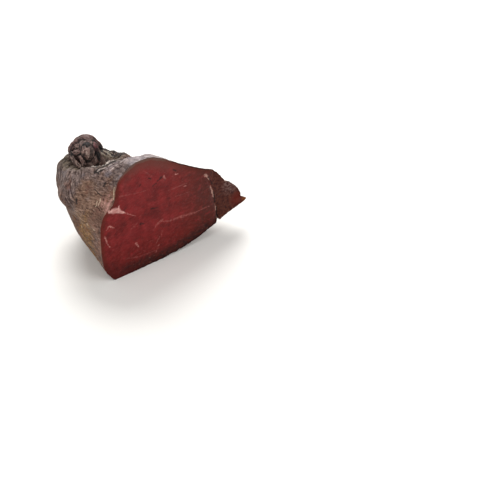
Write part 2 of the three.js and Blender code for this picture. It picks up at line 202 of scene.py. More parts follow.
def face_outline(count):
    """X and Z of the cut's outline, and the bearings of its meridians, at even steps."""
    steps = np.sqrt(np.sqrt(((np.roll(FACE[:, :2], -1, 0) - FACE[:, :2]) ** 2).sum(1)))
    params = np.concatenate([[0], np.cumsum(steps)[:-1]]) / steps.sum()
    rows = FACE.copy()
    rows[:, 2] += 360 * params
    fine = np.linspace(0, 1, 6001)
    xz = closed_curve(params, rows, 1.0, fine)[:, :2]
    run = np.concatenate([[0], np.cumsum(np.sqrt((np.diff(xz, axis=0) ** 2).sum(1)))])
    t = np.interp(np.arange(count) / count, run / run[-1], fine)
    out = closed_curve(params, rows, 1.0, t)
    return out[:, :2], out[:, 2] - 360 * t


def spline_weights(count, t):
    degree = 3
    knots = np.concatenate([np.zeros(degree), np.linspace(0, 1, count - degree + 1), np.ones(degree)])
    x = np.clip(t, 0, 1 - 1e-12)
    w = [((x >= knots[i]) & (x < knots[i + 1])).astype(float) for i in range(count + degree)]
    for d in range(1, degree + 1):
        nxt = []
        for i in range(count + degree - d):
            a, b = knots[i + d] - knots[i], knots[i + d + 1] - knots[i + 1]
            v = np.zeros_like(x)
            if a > 0:
                v = v + (x - knots[i]) / a * w[i]
            if b > 0:
                v = v + (knots[i + d + 1] - x) / b * w[i + 1]
            nxt.append(v)
        w = nxt
    return np.array(w)


# ---------------------------------------------------------------- the body's loft

OUTLINE, BEARING = face_outline(COLUMNS)


def control_rings():
    b = np.radians(BEARING)
    rows = closed_curve(FLANKS[:, 0], FLANKS[:, 1:], 360.0, BEARING)
    outward = np.cos(b)[:, None] * RIGHT + np.sin(b)[:, None] * BACK
    rise = closed_curve(RIM_RISE[:, 0], RIM_RISE[:, 1:], 360.0, BEARING)[:, 0]
    fill = np.maximum(0, np.cos(b - math.radians(FILL_SIDE))) ** 1.5
    rings = [np.stack([OUTLINE[:, 0], 0 * b, OUTLINE[:, 1]], 1), rows[:, :3], rows[:, 3:]]
    for radius, height, share, fills in PROFILE:
        slump = np.clip((height + 7) / 9, 0, 1) if radius < RIM_RADIUS / 2 else 0.0
        up = height + share * rise + fills * fill
        rings.append(RIM_CENTRE + radius * outward + up[:, None] * UP + slump * KNOB_SHIFT)
    return np.array(rings)


RINGS = control_rings()


def loft(v, columns=slice(None)):
    return np.einsum("iv,iuk->vuk", spline_weights(len(RINGS), v), RINGS[:, columns])


def even_steps(count, start=0.0, stop=1.0):
    """Steps along the meridians, evenly spaced by their mean length, with the length in mm."""
    fine = np.linspace(start, stop, 1500)
    s = loft(fine, slice(None, None, 16))
    run = np.concatenate([[0], np.cumsum(np.sqrt((np.diff(s, axis=0) ** 2).sum(-1)).mean(1))])
    return np.interp(np.linspace(0, run[-1], count), run, fine), run[-1]


def relief(points, bearing, v):
    """Rise and fall of the skin along its own normal: the solid's own puckers and swells, then finer pleats."""
    shape = points.shape[:-1]
    b = np.broadcast_to(np.radians(bearing), shape)
    v = np.broadcast_to(v, shape)
    flat = points.reshape(-1, 3)
    gathered = smooth(0.12, 0.27, v) * (1 - 0.4 * smooth(0.34, 0.46, v)) * (1 - smooth(0.5, 0.6, v))
    bend = 0.25 * np.sin(3 * b + 8 * v)
    rise = sum(share * np.cos(n * b + phase + bend) for n, share, phase in PLEATS)
    rise = rise * PLEAT_HEIGHT * gathered
    away = smooth(0, 0.06, v) * (1 - smooth(0.3, 0.45, v))
    for k, (wave, size) in enumerate(SWELLS):
        f = 2 * math.pi / wave
        x, y, z = points[..., 0], points[..., 1], points[..., 2]
        rise = rise + away * size * (np.sin(f * x + 1.3 * k) * np.sin(f * 1.1 * z + 0.7)
                                     + 0.6 * np.sin(f * 0.9 * y + f * 0.6 * x + 2.0 * k))
    # Finer pleats that run over the rim and down into the dimple, wandering as they go
    wander = layered(flat / 11.0, 2, 5).reshape(shape)
    fine = smooth(0.16, 0.32, v) * (1 - smooth(0.52, 0.6, v))
    for n, size, phase in ((37, 0.34, 0.3), (59, 0.26, 1.9)):
        wave = np.abs(np.cos(0.5 * (n * b + phase) + 1.6 * wander))
        rise = rise + fine * size * (2 * wave ** 0.6 - 1.2) * (0.6 + 0.4 * np.cos(5 * b + n))
    # The crease under the front lip of the rim, and the lip that is rolled over it
    degrees = np.mod(np.degrees(b), 360)
    front = smooth(236, 252, degrees) * (1 - smooth(286, 300, degrees))
    at = 0.246 + 0.006 * wander
    rise = rise - 1.1 * front * np.exp(-((v - at) / 0.012) ** 2) + 0.5 * front * np.exp(-((v - at - 0.031) / 0.014) ** 2)
    # The collar bulges over the left wall, which is drawn in below it
    x, y, z = points[..., 0], points[..., 1], points[..., 2]
    wall = smooth(-6.0, -9.0, x)
    rise = rise + wall * (2.0 * np.exp(-((z - 48.0) / 5.0) ** 2 - ((y - 31.0) / 8.0) ** 2)
                          - 1.5 * np.exp(-((z - 35.0) / 6.5) ** 2 - ((y - 25.0) / 9.0) ** 2))
    return rise


# Rings of the body down to the neck with every column, then of the knob with every other column
NECK_V = 0.53
BODY_V, BODY_RUN = even_steps(112, 0.0, NECK_V)
KNOB_V, KNOB_RUN = even_steps(46, NECK_V, 1.0)


def raised(v_list):
    grid = loft(v_list)
    pad = 1e-3
    lower, upper = loft(np.clip(v_list - pad, 0, 1)), loft(np.clip(v_list + pad, 0, 1))
    round_ = np.roll(grid, -1, 1) - np.roll(grid, 1, 1)
    n = np.cross(upper - lower, round_)
    n /= np.linalg.norm(n, axis=-1, keepdims=True) + 1e-12
    rise = relief(grid, BEARING[None, :], v_list[:, None])
    rise[v_list <= 0] = 0
    return grid + n * rise[..., None]


def lay_of(radius, along, count):
    """Coordinates that lie along the skin: round the body (as a circle), then along its meridians, in mm."""
    a = np.arange(count) / count * 2 * math.pi
    along = np.asarray(along, float)
    return np.stack([np.broadcast_to(radius * np.cos(a), (len(along), count)),
                     np.broadcast_to(radius * np.sin(a), (len(along), count)),
                     np.broadcast_to(along[:, None], (len(along), count))], -1)


def face_relief(p):
    """How far the cut's surface lies behind the plane of the cut, in mm, at X and Z."""
    x, z = p[:, 0], p[:, 2]
    q = np.stack([x, np.zeros_like(x), z], 1)
    dip = 0.12 * layered(q / 9.0, 3, 71)
    # Marks that the blade left, along the stroke
    dip += 0.035 * np.sin(1.9 * (z + 0.35 * x) + 1.5 * noise(q / 14.0, 9))
    dip += 0.05 * valleys(np.stack([x / 5.0, np.zeros_like(x), z / 2.2], 1), 12, 0.2)

    def groove(a, b, width, depth):
        a, b = np.array(a, float), np.array(b, float)
        d = b - a
        t = np.clip(((x - a[0]) * d[0] + (z - a[1]) * d[1]) / (d @ d), 0, 1)
        r = np.hypot(x - a[0] - t * d[0], z - a[1] - t * d[1])
        return depth * np.exp(-(r / width) ** 2)

    seam = [(66.5, 46.3), (68.6, 41.8), (70.0, 36.9), (71.4, 31.9), (72.1, 27.9), (73.5, 22.8), (74.6, 16.2), (74.8, 9.0)]
    for k, (a, b) in enumerate(zip(seam, seam[1:])):
        dip = np.maximum(dip, groove(a, b, 0.6 + 0.05 * k, 0.5 + 0.16 * k))
    # The flap past the seam dried harder and stands a little back, with a rough, leathery cut
    flap = smooth(0.0, 3.0, (x - 71.0) + 0.13 * (z - 34.0))
    dip += flap * (0.4 + 0.45 * layered(q / 2.8, 2, 33) + 0.3 * valleys(q / 4.2, 35, 0.25))
    # Its upper edge curls forward
    dip -= 0.9 * np.exp(-(np.hypot((x - 87.0) / 5.5, (z - 31.5) / 4.0)) ** 2)
    return np.clip(dip, -0.7, 1.9)


def build_body():
    body, knob = raised(BODY_V), raised(KNOB_V)[:, ::2]
    body[0, :, 1] = 0.0
    count = COLUMNS
    half = count // 2
    verts, lays, faces, slots = [], [], [], []
    start = {}

    def put(name, pts, lay):
        start[name] = sum(len(v) for v in verts)
        verts.append(pts.reshape(-1, 3))
        lays.append(lay.reshape(-1, 3))

    girth = np.sqrt((np.diff(np.vstack([OUTLINE, OUTLINE[:1]]), axis=0) ** 2).sum(1)).sum() / (2 * math.pi)
    put("body", body, lay_of(girth, np.linspace(0, BODY_RUN, len(BODY_V)), count))
    put("knob", knob[1:-1], lay_of(girth, BODY_RUN + np.linspace(0, KNOB_RUN, len(KNOB_V))[1:-1], half))
    tip = loft(np.array([1.0]))[0, 0]
    put("tip", tip[None], np.array([[0.0, 0.0, BODY_RUN + KNOB_RUN]]))

    # Rings of the cut, from just inside its edge to its middle
    edge = body[0]
    outer = np.concatenate([[0.006, 0.02, 0.04], np.linspace(0.062, 0.34, 13)])
    inner = np.linspace(0.34, 1.0, 22)[1:-1]
    outer_rings = np.array([edge + (FACE_CENTRE - edge) * t for t in outer])
    inner_rings = np.array([edge[::2] + (FACE_CENTRE - edge[::2]) * t for t in inner])
    for rings in (outer_rings, inner_rings):
        rings[..., 1] = face_relief(rings.reshape(-1, 3)).reshape(rings.shape[:2])
    outer_rings[..., 1] *= smooth(0.0, 0.03, outer)[:, None]
    put("outer", outer_rings, outer_rings)
    put("inner", inner_rings, inner_rings)
    middle = FACE_CENTRE.copy()
    middle[1] = face_relief(middle[None])[0]
    put("middle", middle[None], middle[None])

    def strip(a, b, n, slot):
        c = np.arange(n)
        d = (c + 1) % n
        faces.append(np.stack([a + c, b + c, b + d, a + d], 1))
        slots.append(np.full(n, slot))

    def halve(a, b, n, slot):
        """From a ring of n columns to one of half as many."""
        k = np.arange(0, n, 2)
        h, g = k // 2, (k // 2 + 1) % (n // 2)
        a0, a1, a2 = a + k, a + k + 1, a + (k + 2) % n
        gone = np.full(len(k), -1)
        for tri in ((a0, b + h, a1), (a1, b + h, b + g), (a1, b + g, a2)):
            faces.append(np.stack(tri + (gone,), 1))
            slots.append(np.full(len(k), slot))

    def fan(a, tip_, n, slot):
        c = np.arange(n)
        faces.append(np.stack([a + c, np.full(n, tip_), a + (c + 1) % n, np.full(n, -1)], 1))
        slots.append(np.full(n, slot))

    rows = len(BODY_V)
    for r in range(rows - 1):
        strip(start["body"] + r * count, start["body"] + (r + 1) * count, count, 0)
    halve(start["body"] + (rows - 1) * count, start["knob"], count, 0)
    krows = len(knob) - 2
    for r in range(krows - 1):
        strip(start["knob"] + r * half, start["knob"] + (r + 1) * half, half, 0)
    fan(start["knob"] + (krows - 1) * half, start["tip"], half, 0)

    # The cut is wound the other way, so that it faces out
    mark = len(faces)
    strip(start["body"], start["outer"], count, 1)
    for r in range(len(outer) - 1):
        strip(start["outer"] + r * count, start["outer"] + (r + 1) * count, count, 1)
    halve(start["outer"] + (len(outer) - 1) * count, start["inner"], count, 1)
    for r in range(len(inner) - 1):
        strip(start["inner"] + r * half, start["inner"] + (r + 1) * half, half, 1)
    fan(start["inner"] + (len(inner) - 1) * half, start["middle"], half, 1)
    for k in range(mark, len(faces)):
        f = faces[k]
        faces[k] = np.where(f[:, 3:] < 0, f[:, [2, 1, 0, 3]], f[:, ::-1])

    points = np.concatenate(verts)
    skin = slice(0, start["outer"])
    points[skin, 1] = np.maximum(points[skin, 1], 0)
    points[:, 2] = np.maximum(points[:, 2], 0)
    return points, np.concatenate(lays), np.concatenate(faces), np.concatenate(slots)


def make_mesh(name, points, faces, slots=None, flip=False):
    mesh = bpy.data.meshes.new(name)
    polys = [tuple(int(i) for i in f if i >= 0) for f in faces]
    if flip:
        polys = [p[::-1] for p in polys]
    mesh.from_pydata(points.tolist(), [], polys)
    if slots is not None:
        mesh.polygons.foreach_set("material_index", slots.astype(np.int32))
    mesh.update()
    ob = bpy.data.objects.new(name, mesh)
    bpy.context.scene.collection.objects.link(ob)
    return ob


def roll(path, size, steps=52, sides=26, seed=0.0):
    """A tapering roll of gathered skin with round ends, swept along a smooth curve."""
    pts = RIM_CENTRE + KNOB_SHIFT + np.array(path) @ np.array([RIGHT, BACK, UP])
    n = len(pts)
    ext = np.vstack([2 * pts[0] - pts[1], pts, 2 * pts[-1] - pts[-2]])
    fine = np.linspace(0, n - 1 - 1e-9, 600)
    i = fine.astype(int)
    f = (fine - i)[:, None]
    p0, p1, p2, p3 = ext[i], ext[i + 1], ext[i + 2], ext[i + 3]
    c = 0.5 * (2 * p1 + (p2 - p0) * f + (2 * p0 - 5 * p1 + 4 * p2 - p3) * f ** 2 + (3 * p1 - p0 - 3 * p2 + p3) * f ** 3)
    run = np.concatenate([[0], np.cumsum(np.linalg.norm(np.diff(c, axis=0), axis=1))])
    t = np.linspace(0, 1, steps)
    mid = np.stack([np.interp(t * run[-1], run, c[:, k]) for k in range(3)], 1)
    tangent = np.gradient(mid, axis=0)
    tangent /= np.linalg.norm(tangent, axis=1, keepdims=True)
    ref = mid - (RIM_CENTRE + KNOB_SHIFT + 5 * UP)
    nrm = ref - (ref * tangent).sum(1, keepdims=True) * tangent
    nrm /= np.linalg.norm(nrm, axis=1, keepdims=True)
    bi = np.cross(tangent, nrm)
    body = np.where(t < 0.5, size[0] + (size[1] - size[0]) * smooth(0, 0.5, t), size[1] + (size[2] - size[1]) * smooth(0.5, 1, t))
    radius = body * np.sqrt(np.clip(1 - np.abs(2 * t - 1) ** 8 * 0.97, 0, 1))
    a = np.arange(sides) / sides * 2 * math.pi
    aa, tt = a[None, :], t[:, None]
    # Doubled-over skin: a little flattened, with a lengthwise crease that wanders
    section = (1 - 0.08 * np.cos(2 * aa) + 0.05 * np.cos(5 * aa + 5 * tt + seed)
               - 0.20 * (1 - smooth(0, 0.34, np.abs(np.sin(0.5 * (aa - 0.5 + 1.1 * np.sin(seed) - 0.9 * tt))))))
    rr = radius[:, None] * section
    grid = mid[:, None] + nrm[:, None] * (np.cos(a)[None, :, None] * rr[..., None]) + bi[:, None] * (np.sin(a)[None, :, None] * rr[..., None])
    lay = lay_of(size[1], t * run[-1] + 40 * seed, sides)
    ends = np.array([mid[0] - tangent[0] * size[0] * 0.12, mid[-1] + tangent[-1] * size[2] * 0.12])
    verts = np.vstack([grid.reshape(-1, 3), ends])
    lay = np.vstack([lay.reshape(-1, 3), [[0, 0, 40 * seed], [0, 0, run[-1] + 40 * seed]]])
    faces = []
    for r in range(steps - 1):
        for s in range(sides):
            q = (s + 1) % sides
            faces.append((r * sides + s, r * sides + q, (r + 1) * sides + q, (r + 1) * sides + s))
    base = steps * sides
    for s in range(sides):
        q = (s + 1) % sides
        faces.append((q, s, base, -1))
        faces.append(((steps - 1) * sides + s, (steps - 1) * sides + q, base + 1, -1))
    return verts, lay, np.array(faces)


def signed_volume(points, faces):
    a, b, c = points[faces[:, 0]], points[faces[:, 1]], points[faces[:, 2]]
    v = (a * np.cross(b, c)).sum()
    quads = faces[:, 3] >= 0
    a, b, c = points[faces[quads, 0]], points[faces[quads, 2]], points[faces[quads, 3]]
    return v + (a * np.cross(b, c)).sum()


def join(target, others, solver):
    """The target with the others fused on, as one closed mesh."""
    for k, ob in enumerate(others):
        mod = target.modifiers.new("join_%d" % k, "BOOLEAN")
        mod.operation = "UNION"
        mod.solver = solver
        mod.object = ob
    deps = bpy.context.evaluated_depsgraph_get()
    made = bpy.data.meshes.new_from_object(target.evaluated_get(deps))
    target.modifiers.clear()
    return made


points, lays, faces, slots = build_body()
beef = make_mesh("meat", points, faces, slots, flip=signed_volume(points, faces) < 0)
all_points, all_lays, folds = [points], [lays], []
for k, (path, size) in enumerate(ROLLS):
    rp, rl, rf = roll(path, size, seed=1.7 * k + 0.4)
    folds.append(make_mesh("fold_%d" % k, rp, rf, np.zeros(len(rf)), flip=signed_volume(rp, rf) < 0))
    all_points.append(rp)
    all_lays.append(rl)
all_points, all_lays = np.concatenate(all_points), np.concatenate(all_lays)

joined = join(beef, folds, "MANIFOLD")
if len(joined.vertices) <= len(points) // 2:
    joined = join(beef, folds, "EXACT")
for ob in folds:
    bpy.data.objects.remove(ob)
beef.data = joined
mesh = beef.data

# ---------------------------------------------------------------- fine relief of the whole skin

count = len(mesh.vertices)


def read(source, name, width, kind=np.float32):
    out = np.zeros(len(source) * width, kind)
    source.foreach_get(name, out)
    return out.reshape(-1, width) if width > 1 else out


P = read(mesh.vertices, "co", 3).astype(float)
N = read(mesh.vertex_normals, "vector", 3).astype(float)
slot_of = read(mesh.polygons, "material_index", 1, np.int32)
loops = read(mesh.loops, "vertex_index", 1, np.int32)
totals = read(mesh.polygons, "loop_total", 1, np.int32)
loop_slot = np.repeat(slot_of, totals)
on_cut = np.zeros(count, bool)
on_cut[loops[loop_slot == 1]] = True
on_skin = np.zeros(count, bool)
on_skin[loops[loop_slot == 0]] = True
on_edge = on_cut & on_skin
skin_only = on_skin & ~on_cut
print("joined", count, "vertices", len(mesh.polygons), "faces", int((totals - 2).sum()), "triangles")

tree = KDTree(len(all_points))
for k, p in enumerate(all_points):
    tree.insert(p, k)
tree.balance()
nearest = np.array([tree.find(p)[1] for p in P])
lay = all_lays[nearest]
on_fold = nearest >= len(points)

# Distance from the outline of the cut, in its own plane
edge_distance = np.full(count, 50.0)
near = np.where(on_cut | (P[:, 1] < 12))[0]
closed = np.vstack([OUTLINE, OUTLINE[:1]])
a, b = closed[:-1], closed[1:]
for chunk in np.array_split(near, 60):
    q = P[chunk][:, [0, 2]]
    d = b - a
    t = np.clip(((q[:, None] - a) * d).sum(-1) / (d * d).sum(-1), 0, 1)
    edge_distance[chunk] = np.sqrt(((q[:, None] - a - t[..., None] * d) ** 2).sum(-1)).min(1)

local = P - RIM_CENTRE
height = local @ UP
out = local - height[:, None] * UP
from_axis = np.linalg.norm(out, axis=1)
bearing = np.degrees(np.arctan2(out @ BACK, out @ RIGHT)) % 360
along = lay[:, 2]
knobby = np.where(on_fold, 1.0, smooth(15, 11, from_axis) * smooth(-9, -5, height))
# Inside the dimple, which is painted in shade
hollow_shade = smooth(22, 16, from_axis) * smooth(-16, -10, height)
gather = np.where(on_fold, 0.0, smooth(20, 36, along))
left = smooth(4.0, -5.0, P[:, 0]) * smooth(17, 25, P[:, 1]) * smooth(36, 48, P[:, 2]) * (1 - on_fold)

drift = np.stack([layered(P / 8.0, 2, s) for s in (101, 102, 103)], 1)
L = lay + 1.5 * drift
W = P + 1.8 * drift
# Wrinkles along the meridians, strongest where the skin is gathered; others round the body; and a criss-cross net
down = valleys(L / np.array([2.4, 2.4, 22.0]), 211, 0.26)
down2 = valleys(L / np.array([4.4, 4.4, 30.0]), 212, 0.16)
round_ = valleys(W / np.array([7.0, 7.0, 2.2]), 213, 0.24)
net = valleys(W / np.array([4.2, 3.6, 3.0]), 203, 0.17)
crack = valleys(W / np.array([9.0, 7.0, 5.0]) + 3.0, 207, 0.055) * smooth(0.0, 0.35, noise(P / 10.0, 208))
pits = smooth(0.50, 0.68, noise(P / 2.6, 206))
grain = layered(P / 1.6, 2, 205)
lumps = layered(P / 6.0, 2, 209)
patchy = smooth(-0.25, 0.35, noise(P / 13.0, 210))
w_down = np.clip(0.08 + 0.45 * gather + 0.7 * left, 0, 1)
w_round = (1 - gather) * (1 - 0.7 * left) * patchy
w_net = (1 - 0.5 * gather) * (1 - 0.6 * left) * (0.35 + 0.65 * (1 - patchy))
fine = (-0.34 * w_down * down - 0.26 * w_down * down2 - 0.36 * w_round * round_ - 0.30 * w_net * net
        - 0.42 * crack - 0.30 * pits + 0.08 * grain + 0.26 * lumps)
# The knob's folds carry lengthwise wrinkles of their own
strand = valleys(lay / np.array([1.5, 1.5, 9.0]) + 0.25 * drift, 221, 0.24)
strand2 = valleys(W / np.array([3.2, 3.2, 2.0]), 222, 0.2)
fine = np.where(on_fold, -0.38 * strand - 0.30 * strand2 + 0.16 * lumps + 0.06 * grain, fine)
fine[P[:, 2] < 0.05] = 0

calm = smooth(0.0, 2.0, P[:, 1])
move = np.zeros(count)
move[skin_only] = (fine * (0.35 + 0.65 * calm))[skin_only]
Q = P + N * move[:, None]

# The edge of the cut wanders, and along its foot and the flap the dried skin is ragged
x, z = P[:, 0], P[:, 2]
foot = smooth(6.0, 16.0, x) * smooth(9.0, 3.0, z - 0.16 * np.maximum(x - 40, 0))
flap_side = smooth(68.0, 76.0, x)
ragged = np.clip(0.28 + 0.75 * foot + 0.55 * flap_side, 0, 1)
fray = ragged * (0.55 * layered(P / 2.1, 2, 401) + 0.35 * noise(P / 0.95, 402)) + 0.30 * layered(P / 6.0, 1, 404)
inward = FACE_CENTRE - P
inward[:, 1] = 0
inward /= np.linalg.norm(inward, axis=1, keepdims=True) + 1e-9
near_edge = np.where(on_cut, smooth(2.4, 0.0, edge_distance), smooth(3.0, 0.0, P[:, 1]) * smooth(4.0, 0.0, edge_distance))
Q += inward * (near_edge * (fray + 0.1))[:, None]
# Where the seam reaches the foot it opens in a notch, and a smaller one breaks the flap's upper edge
for at, push, wide, deep in (((74.6, 9.6), (-0.1, 1.0), 0.95, 3.0), ((80.9, 37.3), (-0.8, -0.6), 1.1, 1.2),
                             ((92.8, 21.2), (-1.0, -0.2), 1.0, 0.8)):
    r = np.hypot(x - at[0], z - at[1])
    q = np.exp(-(r / wide) ** 2) * smooth(7.0, 1.0, P[:, 1])
    Q[:, 0] += q * deep * push[0]
    Q[:, 2] += q * deep * push[1]
Q[:, 2] = np.maximum(Q[:, 2], 0.0)
Q[skin_only, 1] = np.maximum(Q[skin_only, 1], 0.0)
# The dried rim stands a little proud of the meat in places
Q[on_edge, 1] -= (0.22 * (1 + layered(P / 2.0, 2, 403)) * ragged)[on_edge]
Q[P[:, 2] <= 1e-4, 2] = 0.0

Q = (Q + SHIFT) * MM
mesh.vertices.foreach_set("co", Q.astype(np.float32).ravel())


def attribute(name, values):
    values = np.asarray(values, np.float32)
    if values.ndim == 1:
        mesh.attributes.new(name, "FLOAT", "POINT").data.foreach_set("value", values)
    else:
        mesh.attributes.new(name, "FLOAT_VECTOR", "POINT").data.foreach_set("vector", values.ravel())


# Which fold each vertex belongs to, how pale that fold is, and how near it lies to its neighbours, for the painted
# shade between folds
FOLD_TINT = np.array([0.22, 0.95, 0.65, 0.12, 0.9, 0.5, 1.0, 0.8, 0.55, 0.35, 0.3, 0.4, 0.45])


def fold_axis(path, size, steps=70):
    pts = RIM_CENTRE + KNOB_SHIFT + np.array(path) @ np.array([RIGHT, BACK, UP])
    t = np.linspace(0, 1, steps)
    run = np.concatenate([[0], np.cumsum(np.linalg.norm(np.diff(pts, axis=0), axis=1))])
    mid = np.stack([np.interp(t * run[-1], run, pts[:, k]) for k in range(3)], 1)
    body = np.where(t < 0.5, size[0] + (size[1] - size[0]) * smooth(0, 0.5, t), size[1] + (size[2] - size[1]) * smooth(0.5, 1, t))
    return mid, body * np.sqrt(np.clip(1 - np.abs(2 * t - 1) ** 8 * 0.97, 0, 1))


per_fold = (len(all_points) - len(points)) // len(ROLLS)
fold_of = np.where(on_fold, (nearest - len(points)) // per_fold, -1)
tint = np.where(on_fold, FOLD_TINT[np.clip(fold_of, 0, len(ROLLS) - 1)], 0.6)
crevice_shade = np.zeros(count)
about = np.where(from_axis < 21)[0]
for k, (path, size) in enumerate(ROLLS):
    mid, radius = fold_axis(path, size)
    gap = (np.linalg.norm(P[about][:, None] - mid, axis=2) - radius).min(1)
    gap = np.where(fold_of[about] == k, 9.0, gap)
    crevice_shade[about] = np.maximum(crevice_shade[about], smooth(0.8, 0.0, gap))
under = on_fold & (height < 9)
core_gap = from_axis - np.interp(height, [-6, -2, 2, 6, 10, 14], [5.5, 6.0, 7.2, 7.8, 7.6, 4.0])
crevice_shade = np.where(under, np.maximum(crevice_shade, smooth(0.8, 0.0, core_gap)), crevice_shade)
# The knob's core, under its folds, gets a painted shade too
core = ~on_fold & (from_axis < 12) & (height > -6)
crevice_shade = np.where(core, np.maximum(crevice_shade, 0.38), crevice_shade)

# Painted light and shade of the fine relief: high on the crests, which are painted lighter, and low in the valleys,
# which are painted darker
relief_shading = 0.62 - 0.55 * w_down * down - 0.4 * w_down * down2 - 0.5 * w_round * round_ - 0.45 * w_net * net - 0.6 * crack - 0.5 * pits + 0.22 * lumps
relief_shading = np.where(on_fold, 0.62 - 0.5 * strand - 0.4 * strand2 + 0.2 * lumps, relief_shading)
# The far rim of the dimple, where painted shade goes
far_rim_shade = smooth(-0.3, 0.3, np.cos(np.radians(bearing - 28))) * smooth(14.3, 15.8, from_axis) * smooth(22.2, 19.0, from_axis) * smooth(-9, -5, height)
attribute("edge_mm", edge_distance)
attribute("relief_shading", np.clip(relief_shading, 0, 1))
attribute("knob", knobby)
attribute("hollow_shade", np.clip(hollow_shade, 0, 1))
attribute("far_rim_shade", far_rim_shade)
attribute("sky", np.clip(N[:, 2], 0, 1))
attribute("lay", lay)
attribute("tint", tint)
attribute("crevice_shade", crevice_shade)
attribute("shoulder", np.where(on_fold, 0.0, left))

loop_edges = read(mesh.loops, "edge_index", 1, np.int32)
has = np.zeros((len(mesh.edges), 2), bool)
has[loop_edges, loop_slot] = True
sharp = mesh.attributes.get("sharp_edge") or mesh.attributes.new("sharp_edge", "BOOLEAN", "EDGE")
sharp.data.foreach_set("value", has.all(1))
mesh.polygons.foreach_set("use_smooth", np.ones(len(mesh.polygons), bool))
mesh.update()

# ---------------------------------------------------------------- materials


def linear(c):
    c = c / 255
    return c / 12.92 if c <= 0.04045 else ((c + 0.055) / 1.055) ** 2.4


def shade(r, g, b, gain=1.0, haze=0.0):
    """The base colour that comes out as this display colour under the studio light: gain is the light on it, haze its sheen."""
    return tuple(max((linear(c) - haze) / gain, 0.0012) for c in (r, g, b)) + (1.0,)


class Nodes:
    """Short names for the nodes that the materials are put together from."""

    def __init__(self, name):
        self.mat = bpy.data.materials.new(name)
        self.mat.use_nodes = True
        self.nt = self.mat.node_tree
        self.nt.nodes.clear()
        self.out = self.nt.nodes.new("ShaderNodeOutputMaterial")
        self.bsdf = self.nt.nodes.new("ShaderNodeBsdfPrincipled")
        self.nt.links.new(self.bsdf.outputs[0], self.out.inputs[0])
        # Millimetres in the frame of the cut: X along it, Y into the meat, Z up
        tc = self.nt.nodes.new("ShaderNodeTexCoord")
        scaled = self.vec("SCALE", tc.outputs["Object"], scale=1000.0)
        self.P = self.vec("SUBTRACT", scaled, tuple(SHIFT))

    def put(self, socket, value):
        if isinstance(value, bpy.types.NodeSocket):
            self.nt.links.new(value, socket)
        elif value is not None:
            socket.default_value = value

    def vec(self, op, a, b=None, scale=None):
        n = self.nt.nodes.new("ShaderNodeVectorMath")
        n.operation = op
        self.put(n.inputs[0], a)
        if b is not None:
            self.put(n.inputs[1], b)
        if scale is not None:
            self.put(n.inputs["Scale"], scale)
        return n.outputs["Value"] if op in ("DOT_PRODUCT", "LENGTH", "DISTANCE") else n.outputs["Vector"]

    def math(self, op, a, b=None, c=None, clamp=False):
        n = self.nt.nodes.new("ShaderNodeMath")
        n.operation = op
        n.use_clamp = clamp
        for s, v in zip(n.inputs, (a, b, c)):
            if v is not None:
                self.put(s, v)
        return n.outputs[0]

    def add(self, a, b):
        return self.math("ADD", a, b)

    def mul(self, a, b):
        return self.math("MULTIPLY", a, b)

    def ramp(self, x, lo, hi, a=0.0, b=1.0):
        n = self.nt.nodes.new("ShaderNodeMapRange")
        n.interpolation_type = "SMOOTHSTEP"
        n.clamp = True
        self.put(n.inputs["Value"], x)
        for k, v in (("From Min", lo), ("From Max", hi), ("To Min", a), ("To Max", b)):
            n.inputs[k].default_value = v
        return n.outputs["Result"]

    def noise(self, p, size=1.0, detail=2.0, rough=0.55, warp=0.0, stretch=None):
        if stretch is not None:
            p = self.vec("MULTIPLY", p, stretch)
        n = self.nt.nodes.new("ShaderNodeTexNoise")
        self.put(n.inputs["Vector"], p)
        n.inputs["Scale"].default_value = 1.0 / size
        n.inputs["Detail"].default_value = detail
        n.inputs["Roughness"].default_value = rough
        n.inputs["Distortion"].default_value = warp
        return n.outputs["Fac"]

    def shifted(self, p, size, by, detail=1.0, flat=False):
        """The point moved about by a noise."""
        n = self.nt.nodes.new("ShaderNodeTexNoise")
        self.put(n.inputs["Vector"], p)
        n.inputs["Scale"].default_value = 1.0 / size
        n.inputs["Detail"].default_value = detail
        off = self.vec("SCALE", self.vec("SUBTRACT", n.outputs["Color"], (0.5, 0.5, 0.5)), scale=2 * by)
        if flat:
            off = self.vec("MULTIPLY", off, (1.0, 0.0, 1.0))
        return self.vec("ADD", p, off)

    def valley(self, n, width):
        """1 along the lines where a noise crosses its middle, 0 elsewhere."""
        return self.ramp(self.math("ABSOLUTE", self.math("SUBTRACT", n, 0.5)), width, 0.0)

    def mix(self, fac, a, b):
        n = self.nt.nodes.new("ShaderNodeMix")
        n.data_type = "RGBA"
        self.put(n.inputs[0], fac)
        self.put(n.inputs[6], a)
        self.put(n.inputs[7], b)
        return n.outputs[2]

    def attr(self, name, out="Fac"):
        n = self.nt.nodes.new("ShaderNodeAttribute")
        n.attribute_name = name
        return n.outputs[out]

    def sep(self, v):
        n = self.nt.nodes.new("ShaderNodeSeparateXYZ")
        self.put(n.inputs[0], v)
        return n.outputs

    def bump(self, height, strength, distance):
        n = self.nt.nodes.new("ShaderNodeBump")
        self.put(n.inputs["Height"], height)
        n.inputs["Strength"].default_value = strength
        n.inputs["Distance"].default_value = distance
        return n.outputs[0]

    def streak(self, p, a, b, wide_a, wide_b, soft=0.5):
        """1 on a line from a to b, 0 off it; it tapers between two half-widths. Two numbers are X and Z in the cut's plane."""
        a, b = (np.array(q if len(q) == 3 else (q[0], 0, q[1]), float) for q in (a, b))
        d = b - a
        rel = self.vec("SUBTRACT", p, tuple(a))
        t = self.math("MULTIPLY", self.vec("DOT_PRODUCT", rel, tuple(d)), 1.0 / float(d @ d), clamp=True)
        dist = self.vec("DISTANCE", rel, self.vec("SCALE", tuple(d), scale=t))
        width = self.math("MULTIPLY_ADD", t, wide_b - wide_a, wide_a)
        return self.ramp(self.math("DIVIDE", dist, width), 1.0 + soft, 1.0 - soft)

    def most(self, masks):
        out = masks[0]
        for m in masks[1:]:
            out = self.math("MAXIMUM", out, m)
        return out


